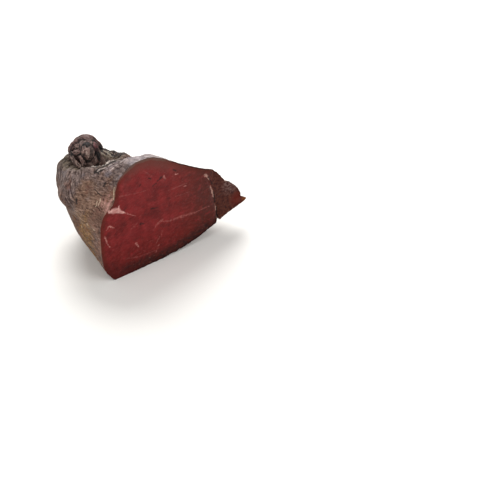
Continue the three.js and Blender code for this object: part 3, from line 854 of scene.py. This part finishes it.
def crust_material():
    m = Nodes("smoked_crust")
    P = m.P
    C = lambda r, g, b: shade(r, g, b, 1.05, 0.012)
    relief_shading, knob, hollow_shade, far_shade = m.attr("relief_shading"), m.attr("knob"), m.attr("hollow_shade"), m.attr("far_rim_shade")
    sky, tint, crevice_shade, shoulder = m.attr("sky"), m.attr("tint"), m.attr("crevice_shade"), m.attr("shoulder")
    lay = m.attr("lay", "Vector")
    x, y, z = m.sep(P)
    wob = m.shifted(P, 4.0, 1.1)
    broad = m.noise(P, 17.0, 2.0)
    patch = m.noise(wob, 6.5, 3.0, 0.6)
    mottle = m.noise(wob, 1.0, 4.0, 0.66, 0.0, (0.5, 0.5, 0.72))
    speck = m.noise(P, 0.7, 2.0, 0.6)
    # Fine wrinkles that follow the skin: some along it, some round it
    along = m.sep(lay)[2]
    lay = m.shifted(lay, 4.0, 0.7)
    down = m.noise(lay, 1.0, 2.0, 0.6, 0.0, (1.15, 1.15, 0.11))
    round_ = m.noise(m.shifted(P, 4.0, 0.6), 1.0, 2.0, 0.6, 0.0, (0.26, 0.26, 1.05))
    pick = m.math("MAXIMUM", m.ramp(m.noise(P, 8.0, 1.0), 0.54, 0.68, 0.0, 0.6), shoulder)
    line = m.mix(pick, round_, down)
    crease = m.valley(line, 0.05)

    # Each part of the skin has a dark and a light tone, and the mottling, the wrinkles and the painted light and shade
    # of the relief run between them
    sway = m.math("MULTIPLY_ADD", patch, 40.0, -20.0)
    near_cut = m.ramp(m.add(y, m.math("MULTIPLY_ADD", patch, 8.0, -4.0)), 13.0, 3.0)
    # Lower down the skin is warmer: partly its own tone, partly painted warm light reflected from below
    low_tone_and_bounce = m.ramp(m.add(z, sway), 48.0, 30.0)
    # Painted highlight along the top ridge near the cut
    ridge_highlight = m.mul(m.mul(m.ramp(m.add(z, m.mul(sway, 0.4)), 56.0, 69.0), m.mul(m.ramp(x, 10.0, 22.0), m.ramp(x, 56.0, 44.0))), m.ramp(y, 26.0, 10.0))
    zones = (
        (None, (82, 58, 46), (158, 126, 107)),
        (m.ramp(m.add(z, sway), 56.0, 70.0), (66, 52, 49), (134, 114, 108)),
        # lower skin: its own warmer tone and painted warm reflected light
        (low_tone_and_bounce, (84, 60, 43), (148, 116, 90)),
        # low at the front left, more orange: its own tone and painted warm reflected light
        (m.mul(m.mul(low_tone_and_bounce, m.ramp(y, 28.0, 20.0)), m.ramp(x, 14.0, 2.0)), (88, 59, 31), (162, 119, 71)),
        (m.mul(m.ramp(x, 14.0, 32.0), m.ramp(z, 62.0, 52.0)), (90, 67, 56), (144, 114, 98)),
        (shoulder, (84, 68, 64), (172, 150, 142)),
        (m.mul(near_cut, m.ramp(z, 66.0, 60.0)), (88, 61, 50), (150, 116, 101)),
        # painted highlight: the top ridge's much lighter tones
        (ridge_highlight, (118, 105, 103), (194, 180, 178)),
    )
    lo = hi = None
    for mask, dark_tone, light_tone in zones:
        lo = C(*dark_tone) if mask is None else m.mix(mask, lo, C(*dark_tone))
        hi = C(*light_tone) if mask is None else m.mix(mask, hi, C(*light_tone))
    detail = m.add(m.mul(m.ramp(mottle, 0.40, 0.60), 0.52), m.add(m.mul(m.ramp(line, 0.42, 0.60), 0.34), m.mul(m.ramp(relief_shading, 0.2, 0.85), 0.24)))
    col = m.mix(detail, lo, hi)
    col = m.mix(m.ramp(broad, 0.34, 0.54, 0.35, 0.0), col, lo)
    warm = m.ramp(m.noise(wob, 7.0, 3.0), 0.53, 0.68, 0.0, 0.5)
    col = m.mix(m.mul(warm, m.ramp(z, 69.0, 60.0)), col, C(130, 84, 68))
    # A lilac-grey bloom on the top and the shoulder, partly a painted highlight
    lilac_bloom_and_highlight = m.mul(m.ramp(m.noise(P, 9.0, 2.0), 0.50, 0.64, 0.0, 0.45), m.math("MAXIMUM", shoulder, m.ramp(z, 62.0, 70.0)))
    col = m.mix(lilac_bloom_and_highlight, col, C(142, 132, 138))
    # These tones give painted shade in the wrinkles and painted highlights on their crests, and also the real dark and
    # pale specks
    dark_speck_and_shade, crease_shadow_tone = C(48, 32, 26), C(22, 14, 12)
    pale_fleck_and_highlight = C(190, 172, 158)
    # Painted shade in the wrinkles' valleys and the relief's low places, and painted highlights on its crests
    col = m.mix(m.mul(crease, m.ramp(patch, 0.62, 0.40, 0.2, 0.75)), col, dark_speck_and_shade)
    col = m.mix(m.ramp(relief_shading, 0.26, 0.0, 0.0, 0.62), col, dark_speck_and_shade)
    col = m.mix(m.mul(m.ramp(relief_shading, 0.62, 0.86), m.ramp(mottle, 0.48, 0.66, 0.0, 0.5)), col, pale_fleck_and_highlight)
    col = m.mix(m.ramp(speck, 0.66, 0.74, 0.0, 0.45), col, pale_fleck_and_highlight)
    col = m.mix(m.ramp(speck, 0.35, 0.28, 0.0, 0.55), col, dark_speck_and_shade)
    # Painted shade darkens the back of the left wall
    back_wall_shade = m.ramp(m.add(m.math("SUBTRACT", y, m.mul(z, 0.2)), m.math("MULTIPLY_ADD", patch, 6.0, -3.0)), 12.0, 17.5)
    back_wall_shade = m.mul(m.mul(back_wall_shade, m.ramp(z, 57.0, 49.0)), m.ramp(x, 2.0, -5.0))
    col = m.mix(m.mul(back_wall_shade, 0.72), col, m.mix(m.ramp(mottle, 0.38, 0.62), C(62, 36, 22), C(104, 68, 46)))

    # Painted shade fills the hollow: dark olive, darker still in its creases, and light threads on its pleats, which
    # are painted highlights
    deep = m.mix(m.ramp(mottle, 0.36, 0.62), C(60, 50, 42), C(118, 105, 88))
    deep = m.mix(m.mul(crease, 0.6), deep, C(26, 19, 16))
    col = m.mix(m.mul(hollow_shade, 0.85), col, deep)
    # Painted shade, nearly black, along the far rim of the dimple
    rim_shade_tone = m.mix(m.ramp(mottle, 0.42, 0.64), C(30, 20, 18), C(74, 55, 50))
    col = m.mix(m.mul(m.mul(far_shade, m.ramp(y, 25.0, 30.0)), m.ramp(m.noise(P, 5.0, 2.0), 0.30, 0.46, 0.6, 0.98)), col, rim_shade_tone)

    # The knob took the most smoke: plum brown, with paler folds; painted shade, nearly black, lies between its folds,
    # and painted highlights are pale patches on the paler folds
    kn = m.mix(tint, C(92, 66, 65), C(138, 114, 105))
    kn = m.mix(m.ramp(patch, 0.42, 0.60, 0.0, 0.55), kn, C(108, 79, 73))
    kn = m.mix(m.mul(m.ramp(broad, 0.44, 0.6), m.ramp(tint, 0.45, 0.1, 0.0, 0.7)), kn, C(108, 62, 66))
    kn = m.mix(m.ramp(mottle, 0.47, 0.32, 0.0, 0.6), kn, C(48, 33, 30))
    # Painted highlights: pale patches, strongest on the paler folds
    kn = m.mix(m.mul(m.ramp(mottle, 0.53, 0.64), m.ramp(tint, 0.0, 1.0, 0.2, 0.75)), kn, C(182, 162, 150))
    # Painted shade, nearly black, in the low places between the strands
    kn = m.mix(m.ramp(relief_shading, 0.42, 0.10, 0.0, 0.8), kn, C(34, 22, 20))
    col = m.mix(knob, col, kn)
    # Painted shade where the folds meet one another and the knob's core
    col = m.mix(m.mul(m.ramp(crevice_shade, 0.1, 0.95), 0.92), col, C(22, 15, 13))

    S = m.streak
    jig = m.shifted(P, 1.5, 0.5, 2.0)
    # Painted highlights on the pleats inside the hollow and on the lip at the front of the rim, and painted shadow in
    # the crease under it

    def path(p, points, wide_a, wide_b):
        steps = np.linspace(wide_a, wide_b, len(points))
        return m.most([S(p, q, r, u, v) for q, r, u, v in zip(points, points[1:], steps, steps[1:])])

    # Painted highlights: light threads on the pleats inside the hollow
    pleat_highlights = m.most([path(jig, [(23.0, 44.6, 59.4), (24.4, 42.5, 58.1), (24.2, 38.9, 58.4), (24.5, 36.1, 58.1)], 0.5, 0.4),
                      path(jig, [(21.3, 43.5, 58.7), (22.0, 41.7, 57.8), (23.0, 38.0, 57.6)], 0.5, 0.35),
                      path(jig, [(25.2, 42.0, 58.6), (25.6, 39.7, 58.9), (26.5, 36.8, 58.9)], 0.35, 0.25)])
    col = m.mix(m.mul(pleat_highlights, 0.75), col, C(176, 162, 145))
    wave = m.math("MULTIPLY_ADD", m.noise(P, 4.0, 2.0), 2.4, -1.2)
    place = m.add(along, wave)
    front = m.mul(m.mul(m.ramp(x, -2.0, 1.5), m.ramp(x, 19.0, 15.0)), m.ramp(y, 25.0, 20.0))
    # Painted highlight along the lip rolled over the front of the rim
    lip_highlight = m.mul(front, m.ramp(m.math("ABSOLUTE", m.math("SUBTRACT", place, 74.6)), 1.1, 0.4))
    col = m.mix(m.mul(lip_highlight, m.ramp(mottle, 0.36, 0.56, 0.3, 0.85)), col, C(196, 182, 172))
    # Painted shadow, nearly black, in the creases at the front of the rim
    shaded_creases = m.most([path(jig, [(-1.0, 16.6, 67.4), (1.6, 16.0, 68.9), (4.2, 16.8, 68.7), (7.2, 16.9, 69.1), (10.5, 16.3, 69.5), (15.1, 17.6, 69.0)], 0.55, 0.4),
                      path(jig, [(-0.9, 15.7, 67.8), (2.5, 14.7, 68.4), (4.8, 14.6, 68.7), (7.0, 12.2, 70.2)], 0.4, 0.3),
                      path(jig, [(3.1, 19.1, 69.4), (1.6, 16.1, 68.9), (0.8, 14.0, 67.2)], 0.35, 0.3),
                      path(jig, [(10.5, 12.8, 71.4), (15.0, 12.6, 72.0), (19.0, 13.6, 71.4)], 0.4, 0.3)])
    col = m.mix(m.mul(shaded_creases, 0.9), col, crease_shadow_tone)
    # Painted highlights: pale lines along folds at the front of the rim and on the top near the cut
    folds = m.most([path(jig, [(1.1, 15.3, 68.5), (4.0, 15.5, 68.9), (7.3, 15.6, 69.2), (10.4, 14.6, 69.9)], 0.35, 0.5),
                    path(jig, [(4.0, 1.6, 68.2), (6.2, 2.2, 71.0), (9.2, 3.0, 73.4)], 0.5, 0.35),
                    path(jig, [(5.5, 9.0, 70.2), (12.0, 9.2, 73.0), (17.0, 10.4, 73.0)], 0.35, 0.3)])
    col = m.mix(m.mul(folds, m.ramp(mottle, 0.38, 0.52, 0.2, 0.75)), col, C(192, 176, 168))
    col = m.mix(m.mul(path(jig, [(-10.0, 38.6, 62.0), (-11.4, 37.6, 56.0), (-13.0, 35.0, 51.0)], 0.8, 0.5), 0.6), col, C(60, 48, 54))

    # Beside the cut, fat shows through the skin in streaks
    fat = m.ramp(m.vec("DISTANCE", wob, (-3.0, 2.5, 53.0)), 7.5, 2.0)
    fat = m.mul(fat, m.ramp(m.noise(m.shifted(P, 2.0, 0.6), 1.0, 2.0, 0.5, 0.0, (1.1, 1.1, 0.25)), 0.47, 0.58))
    col = m.mix(m.mul(fat, 0.5), col, C(184, 136, 124))
    rosy = m.most([S(jig, (1.1, 1.2, 57.2), (-0.9, 2.4, 53.8), 0.55, 0.7), S(jig, (-0.9, 2.2, 53.8), (-3.2, 1.2, 51.4), 0.7, 0.9),
                   S(jig, (0.5, 3.0, 58.7), (0.3, 3.2, 58.1), 0.7, 0.6), S(jig, (-2.3, 4.3, 54.0), (-3.4, 3.8, 51.8), 0.4, 0.3)])
    col = m.mix(m.mul(rosy, m.ramp(mottle, 0.36, 0.5, 0.25, 0.8)), col, C(200, 150, 140))
    buff = m.most([S(jig, (2.9, 1.2, 64.0), (1.6, 0.6, 56.8), 0.32, 0.28), S(jig, (-3.0, 7.4, 55.4), (-5.6, 6.4, 51.8), 0.35, 0.3),
                   S(jig, (-4.9, 8.2, 53.8), (-6.8, 7.4, 50.6), 0.3, 0.25), S(P, (-10.5, 19.6, 32.3), (-10.3, 19.3, 31.7), 0.55, 0.5),
                   S(P, (-10.6, 11.5, 38.6), (-10.4, 11.1, 38.0), 0.5, 0.45), S(P, (-10.0, 5.5, 37.6), (-9.8, 5.2, 37.2), 0.5, 0.4)])
    col = m.mix(m.mul(buff, 0.75), col, C(202, 178, 152))
    slits = m.most([S(P, (-12.3, 18.6, 52.6), (-12.6, 18.1, 50.0), 0.8, 0.6), S(jig, (0.7, 7.1, 64.8), (0.3, 7.3, 63.9), 0.7, 0.6),
                    S(jig, (-0.2, 7.5, 63.2), (-0.5, 7.7, 62.6), 0.6, 0.5), S(jig, (-3.7, 11.4, 60.0), (-3.0, 9.2, 58.2), 0.3, 0.45),
                    S(jig, (-3.0, 9.2, 58.2), (-1.4, 6.0, 56.4), 0.45, 0.25)])
    col = m.mix(m.mul(slits, 0.9), col, C(26, 18, 16))
    col = m.mix(m.mul(m.ramp(z, 6.0, 0.8, 0.0, 0.75), m.ramp(mottle, 0.3, 0.55)), col, C(78, 44, 26))

    m.put(m.bsdf.inputs["Base Color"], col)
    m.put(m.bsdf.inputs["Roughness"], m.add(m.ramp(mottle, 0.3, 0.7, 0.44, 0.66), m.mul(crease, 0.1)))
    m.bsdf.inputs["Specular IOR Level"].default_value = 0.27
    # Leathery grain and dried wrinkles, finer than the mesh carries
    h = m.add(m.mul(crease, -0.9), m.add(m.mul(line, 1.4), m.mul(mottle, 1.3)))
    m.put(m.bsdf.inputs["Normal"], m.bump(m.add(h, m.mul(speck, 0.4)), 0.7, 0.0004))
    return m.mat


def cut_material():
    m = Nodes("cut_meat")
    P = m.P
    C = lambda r, g, b: shade(r, g, b, 1.12, 0.013)
    x, y, z = m.sep(P)
    edge = m.attr("edge_mm")
    flat = m.vec("MULTIPLY", P, (1.0, 0.0, 1.0))
    wob = m.shifted(flat, 4.0, 1.6, 2.0, True)
    jig = m.shifted(flat, 1.5, 0.85, 3.0, True)
    broad = m.noise(flat, 24.0, 1.0)
    cloud = m.noise(wob, 8.0, 3.0, 0.6)
    # Bundles of fibre, cut nearly across, a little drawn out along the slope of the cut
    c, s = math.cos(math.radians(16)), math.sin(math.radians(16))
    along = m.vec("DOT_PRODUCT", wob, (c, 0.0, s))
    across = m.vec("DOT_PRODUCT", wob, (-s, 0.0, c))
    comb = m.nt.nodes.new("ShaderNodeCombineXYZ")
    m.put(comb.inputs[0], m.mul(along, 0.5))
    m.put(comb.inputs[2], across)
    bundle = m.noise(comb.outputs[0], 1.7, 4.0, 0.68)
    thread = m.noise(comb.outputs[0], 0.5, 2.0, 0.6)

    red = m.mix(m.ramp(cloud, 0.34, 0.66), C(94, 31, 32), C(126, 43, 43))
    red = m.mix(m.ramp(broad, 0.40, 0.62, 0.0, 0.45), red, C(126, 42, 44))
    # Darker towards the foot, browner to the right and towards the seam
    red = m.mix(m.ramp(z, 30.0, 8.0, 0.0, 0.55), red, C(96, 36, 32))
    red = m.mix(m.ramp(x, 34.0, 58.0, 0.0, 0.75), red, C(96, 37, 32))
    red = m.mix(m.ramp(x, 50.0, 67.0, 0.0, 0.9), red, C(76, 37, 30))
    red = m.mix(m.ramp(bundle, 0.50, 0.70, 0.0, 0.42), red, C(144, 62, 60))
    red = m.mix(m.ramp(bundle, 0.48, 0.32, 0.0, 0.48), red, C(76, 20, 21))
    blot = m.noise(m.shifted(flat, 3.0, 1.0, 2.0, True), 5.0, 3.0, 0.62)
    red = m.mix(m.ramp(blot, 0.48, 0.30, 0.0, 0.62), red, C(80, 23, 25))
    red = m.mix(m.ramp(blot, 0.54, 0.68, 0.0, 0.5), red, C(136, 47, 49))
    red = m.mix(m.mul(m.ramp(thread, 0.62, 0.72, 0.0, 0.30), m.ramp(x, 66.0, 50.0, 0.4, 1.0)), red, C(158, 90, 88))

    # Dried border: brownish, widest along the foot, with a thin dark skin line that comes and goes
    wavy = m.add(edge, m.math("MULTIPLY_ADD", m.noise(P, 3.0, 3.0), 3.2, -1.6))
    red = m.mix(m.ramp(wavy, 4.5, 0.6, 0.0, 0.65), red, C(84, 44, 36))
    top = m.mul(m.ramp(z, 52.0, 68.0), m.ramp(x, 4.0, 18.0))
    red = m.mix(m.mul(top, m.ramp(wavy, 11.0, 3.5, 0.0, 0.75)), red, C(102, 58, 52))
    red = m.mix(m.mul(m.ramp(z, 66.0, 72.0), m.ramp(wavy, 2.6, 0.9, 0.0, 0.75)), red, C(104, 82, 74))
    lift = m.math("SUBTRACT", z, m.math("MAXIMUM", m.mul(m.math("SUBTRACT", x, 40.0), 0.2), 0.0))
    foot = m.mul(m.ramp(x, -2.0, 10.0), m.ramp(m.add(lift, m.math("MULTIPLY_ADD", m.noise(wob, 3.4, 3.0), 5.0, -2.5)), 10.0, 4.2))
    red = m.mix(m.mul(foot, 0.9), red, m.mix(m.ramp(bundle, 0.4, 0.6), C(48, 22, 18), C(74, 36, 29)))
    crusty = m.mul(foot, m.ramp(m.noise(m.shifted(flat, 2.0, 0.6), 1.0, 2.0, 0.6, 0.0, (0.35, 1.0, 1.1)), 0.60, 0.70))
    red = m.mix(m.mul(crusty, 0.5), red, C(128, 96, 86))
    rim = m.ramp(m.add(edge, m.math("MULTIPLY_ADD", m.noise(P, 1.6, 2.0), 2.0, -1.0)), 1.1, 0.4, 0.0, 0.85)
    rim = m.mul(rim, m.ramp(m.add(x, m.mul(z, -0.12)), -6.0, 6.0, 0.08, 1.0))
    red = m.mix(m.mul(rim, m.ramp(z, 70.0, 62.0, 0.25, 1.0)), red, C(48, 26, 20))
    corner = m.mul(m.ramp(m.add(z, m.mul(x, 0.5)), 17.0, 4.0), m.ramp(x, 26.0, 8.0))
    red = m.mix(m.mul(corner, m.ramp(bundle, 0.3, 0.6, 0.9, 0.55)), red, C(74, 27, 20))

    # The flap past the seam
    past = m.ramp(m.add(m.math("SUBTRACT", x, 71.2), m.mul(m.math("SUBTRACT", z, 34.0), 0.14)), -0.7, 0.9)
    rough = m.noise(wob, 1.9, 4.0, 0.68)
    flap = m.mix(m.ramp(rough, 0.36, 0.60), C(58, 30, 24), C(88, 51, 42))
    # Painted highlight: grey-mauve on the flap's upper right
    mauve_highlight = m.mul(m.ramp(m.vec("DISTANCE", flat, (84.5, 0.0, 32.5)), 9.0, 2.0), m.ramp(rough, 0.44, 0.60))
    flap = m.mix(m.mul(mauve_highlight, 0.85), flap, C(118, 96, 92))
    ruddy = m.ramp(m.vec("DISTANCE", wob, (89.5, 0.0, 20.0)), 7.0, 2.0)
    flap = m.mix(m.mul(ruddy, 0.7), flap, C(98, 38, 30))
    flap = m.mix(m.ramp(rough, 0.66, 0.76, 0.0, 0.75), flap, C(160, 134, 126))
    red = m.mix(past, red, flap)
    tip = m.ramp(m.vec("DISTANCE", wob, (96.6, 0.0, 17.6)), 3.6, 1.4)
    red = m.mix(m.mul(tip, 0.85), red, C(126, 74, 44))

    # Fat: a plug at the left edge with its tail, and the seams of marbling
    S = m.streak
    plug = m.most([S(jig, (-2.0, 49.6), (1.2, 49.2), 0.9, 1.7), S(jig, (1.2, 49.2), (4.0, 48.0), 1.7, 1.3),
                   S(jig, (3.8, 48.4), (4.5, 50.9), 0.8, 0.4), S(jig, (4.0, 47.6), (7.6, 45.2), 1.1, 0.6),
                   S(jig, (-2.4, 50.5), (-1.6, 53.0), 0.5, 0.3)])
    tail = m.most([S(jig, (7.2, 45.4), (10.9, 42.6), 0.6, 0.35), S(jig, (10.9, 42.6), (15.4, 39.4), 0.3, 0.15)])
    veins = m.most([
        S(jig, (68.3, 23.6), (57.8, 23.4), 0.25, 0.45), S(jig, (57.8, 23.4), (48.9, 24.6), 0.55, 1.05),
        S(jig, (48.9, 24.6), (39.4, 25.4), 1.05, 0.6), S(jig, (39.4, 25.4), (33.4, 27.4), 0.5, 0.4),
        S(jig, (34.0, 28.8), (29.6, 26.4), 0.7, 0.95), S(jig, (29.6, 26.4), (27.2, 23.8), 0.5, 0.15),
        S(jig, (33.3, 20.4), (32.6, 16.8), 0.3, 0.35), S(jig, (31.3, 16.8), (28.4, 13.0), 0.45, 0.2),
        S(jig, (30.7, 11.2), (28.2, 6.6), 0.55, 0.3)])
    faint = m.most([
        S(jig, (5.6, 57.4), (13.8, 55.4), 0.6, 0.5), S(jig, (13.8, 55.4), (24.0, 53.8), 0.5, 0.2),
        S(jig, (5.6, 12.3), (15.4, 9.4), 0.22, 0.4), S(jig, (15.4, 9.4), (29.1, 8.2), 0.4, 0.25),
        S(jig, (22.5, 68.0), (27.5, 62.5), 0.35, 0.7), S(jig, (39.0, 47.5), (52.0, 47.0), 0.25, 0.5),
        S(jig, (44.0, 41.0), (56.0, 40.0), 0.3, 0.2), S(jig, (12.0, 31.5), (16.5, 34.0), 0.3, 0.4)])
    flecks = m.most([
        S(jig, (14.8, 19.6), (16.4, 16.4), 0.8, 0.25), S(jig, (-6.3, 33.9), (-5.2, 29.1), 0.4, 0.45),
        S(jig, (-5.0, 28.4), (-3.4, 25.0), 0.2, 0.35), S(jig, (-4.8, 38.0), (-2.8, 40.2), 0.3, 0.55),
        S(jig, (-2.4, 39.6), (0.6, 37.2), 0.5, 0.25), S(jig, (36.4, 58.4), (37.2, 56.6), 0.75, 0.5),
        S(jig, (44.4, 56.8), (46.4, 56.2), 0.45, 0.35), S(jig, (50.5, 45.6), (51.8, 45.4), 0.35, 0.35)])
    seam = m.most([S(jig, (66.0, 47.0), (67.6, 45.6), 0.9, 0.7), S(jig, (67.6, 45.6), (69.2, 42.4), 0.6, 0.3),
                   S(jig, (69.9, 37.6), (71.4, 32.0), 0.35, 0.65), S(jig, (71.4, 32.0), (72.4, 27.8), 0.6, 0.2),
                   S(jig, (73.2, 22.4), (74.0, 17.6), 0.3, 0.55), S(jig, (74.2, 13.0), (74.6, 9.4), 0.35, 0.7)])
    torn = m.ramp(m.noise(jig, 1.3, 3.0, 0.65), 0.40, 0.56, 0.05, 1.0)
    red = m.mix(m.mul(m.mul(faint, torn), 0.34), red, C(156, 90, 86))
    red = m.mix(m.mul(m.mul(veins, torn), 0.56), red, C(166, 98, 92))
    red = m.mix(m.mul(m.mul(flecks, torn), 0.80), red, C(186, 124, 116))
    red = m.mix(m.mul(m.mul(tail, torn), 0.75), red, C(178, 112, 106))
    red = m.mix(m.mul(plug, m.ramp(torn, 0.0, 1.0, 0.72, 1.0)), red, m.mix(m.ramp(bundle, 0.38, 0.6), C(182, 124, 118), C(216, 166, 158)))
    red = m.mix(m.mul(m.mul(seam, torn), 0.9), red, C(196, 154, 140))
    # Dark fissures where bundles have drawn apart
    fissures = m.most([
        S(jig, (28.3, 55.0), (30.6, 55.8), 0.6, 0.5), S(jig, (31.6, 57.2), (34.9, 58.6), 0.45, 0.75),
        S(jig, (43.2, 60.4), (45.2, 58.6), 0.6, 0.35), S(jig, (26.3, 39.6), (31.0, 38.8), 0.6, 0.25),
        S(jig, (18.6, 32.3), (21.3, 31.4), 0.75, 0.45), S(jig, (18.5, 58.6), (20.5, 59.6), 0.5, 0.3),
        S(jig, (26.0, 61.4), (27.2, 60.4), 0.55, 0.35), S(jig, (-2.4, 54.6), (-0.2, 52.8), 0.55, 0.7)])
    seam_dark = m.most([S(jig, (68.4, 45.0), (71.0, 38.5), 0.3, 0.4), S(jig, (72.2, 32.0), (73.4, 24.0), 0.35, 0.4),
                        S(jig, (74.6, 20.0), (75.0, 9.0), 0.4, 0.9)])
    fissures = m.mul(fissures, m.ramp(m.noise(flat, 0.9, 2.0), 0.38, 0.52, 0.1, 1.0))
    red = m.mix(m.mul(fissures, 0.88), red, C(50, 12, 14))
    red = m.mix(m.mul(seam_dark, 0.8), red, C(36, 20, 16))

    m.put(m.bsdf.inputs["Base Color"], red)
    dry = m.math("MAXIMUM", past, m.ramp(wavy, 5.0, 0.8))
    m.put(m.bsdf.inputs["Roughness"], m.add(m.ramp(cloud, 0.3, 0.7, 0.36, 0.50), m.mul(dry, 0.22)))
    m.bsdf.inputs["Specular IOR Level"].default_value = 0.14
    height = m.add(m.mul(bundle, 1.6), m.mul(thread, 0.6))
    height = m.add(height, m.mul(m.mul(past, rough), 1.5))
    m.put(m.bsdf.inputs["Normal"], m.bump(height, 0.6, 0.0003))
    return m.mat


mesh.materials.clear()
mesh.materials.append(crust_material())
mesh.materials.append(cut_material())
mesh.polygons.foreach_set("material_index", slot_of)
beef.name = "cured_beef_joint"
mesh.name = "cured_beef_joint"

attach(beef, "root")
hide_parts("cured_beef")

# ---------------------------------------------------------------- floor, light and camera


def floor():
    me = bpy.data.meshes.new("floor")
    s = 4.0
    me.from_pydata([(-s, -s, 0), (s, -s, 0), (s, s, 0), (-s, s, 0)], [], [(0, 1, 2, 3)])
    ob = bpy.data.objects.new("floor", me)
    bpy.context.scene.collection.objects.link(ob)
    mat = bpy.data.materials.new("pale_floor")
    mat.use_nodes = True
    b = mat.node_tree.nodes["Principled BSDF"]
    b.inputs["Base Color"].default_value = (0.80, 0.785, 0.755, 1)
    b.inputs["Roughness"].default_value = 0.75
    b.inputs["Specular IOR Level"].default_value = 0.2
    me.materials.append(mat)
    return ob


floor()


def area(name, at, target, size, power, colour=(1, 1, 1)):
    light = bpy.data.lights.new(name, "AREA")
    light.shape = "DISK"
    light.size = size
    light.energy = power
    light.color = colour
    ob = bpy.data.objects.new(name, light)
    ob.location = at
    ob.rotation_euler = (Vector(target) - Vector(at)).to_track_quat("-Z", "Y").to_euler()
    bpy.context.scene.collection.objects.link(ob)
    return ob


CENTRE = (0.0, 0.0, 0.03)
area("top_soft", (0.30, 0.55, 0.85), CENTRE, 0.7, 12.0)
area("front_soft", (0.25, -0.95, 0.75), CENTRE, 0.9, 6.0)
area("left_soft", (-0.95, -0.10, 0.60), CENTRE, 0.7, 4.0)

world = bpy.data.worlds.new("studio")
bpy.context.scene.world = world
world.use_nodes = True
bg = world.node_tree.nodes["Background"]
bg.inputs["Color"].default_value = (1.0, 1.0, 1.0, 1)
bg.inputs["Strength"].default_value = 0.5

cam_data = bpy.data.cameras.new("camera")
cam_data.sensor_width = 36.0
cam_data.lens = 106.23
cam = bpy.data.objects.new("camera", cam_data)
eye = (np.array([-359.04, -594.64, 541.63]) + SHIFT) * MM
aim = (np.array([80.01, -25.54, 0.0]) + SHIFT) * MM
cam.location = eye
cam.rotation_euler = (Vector(aim) - Vector(eye)).to_track_quat("-Z", "Y").to_euler()
bpy.context.scene.collection.objects.link(cam)
bpy.context.scene.camera = cam

bpy.context.scene.view_settings.view_transform = "Standard"
bpy.context.scene.view_settings.look = "None"
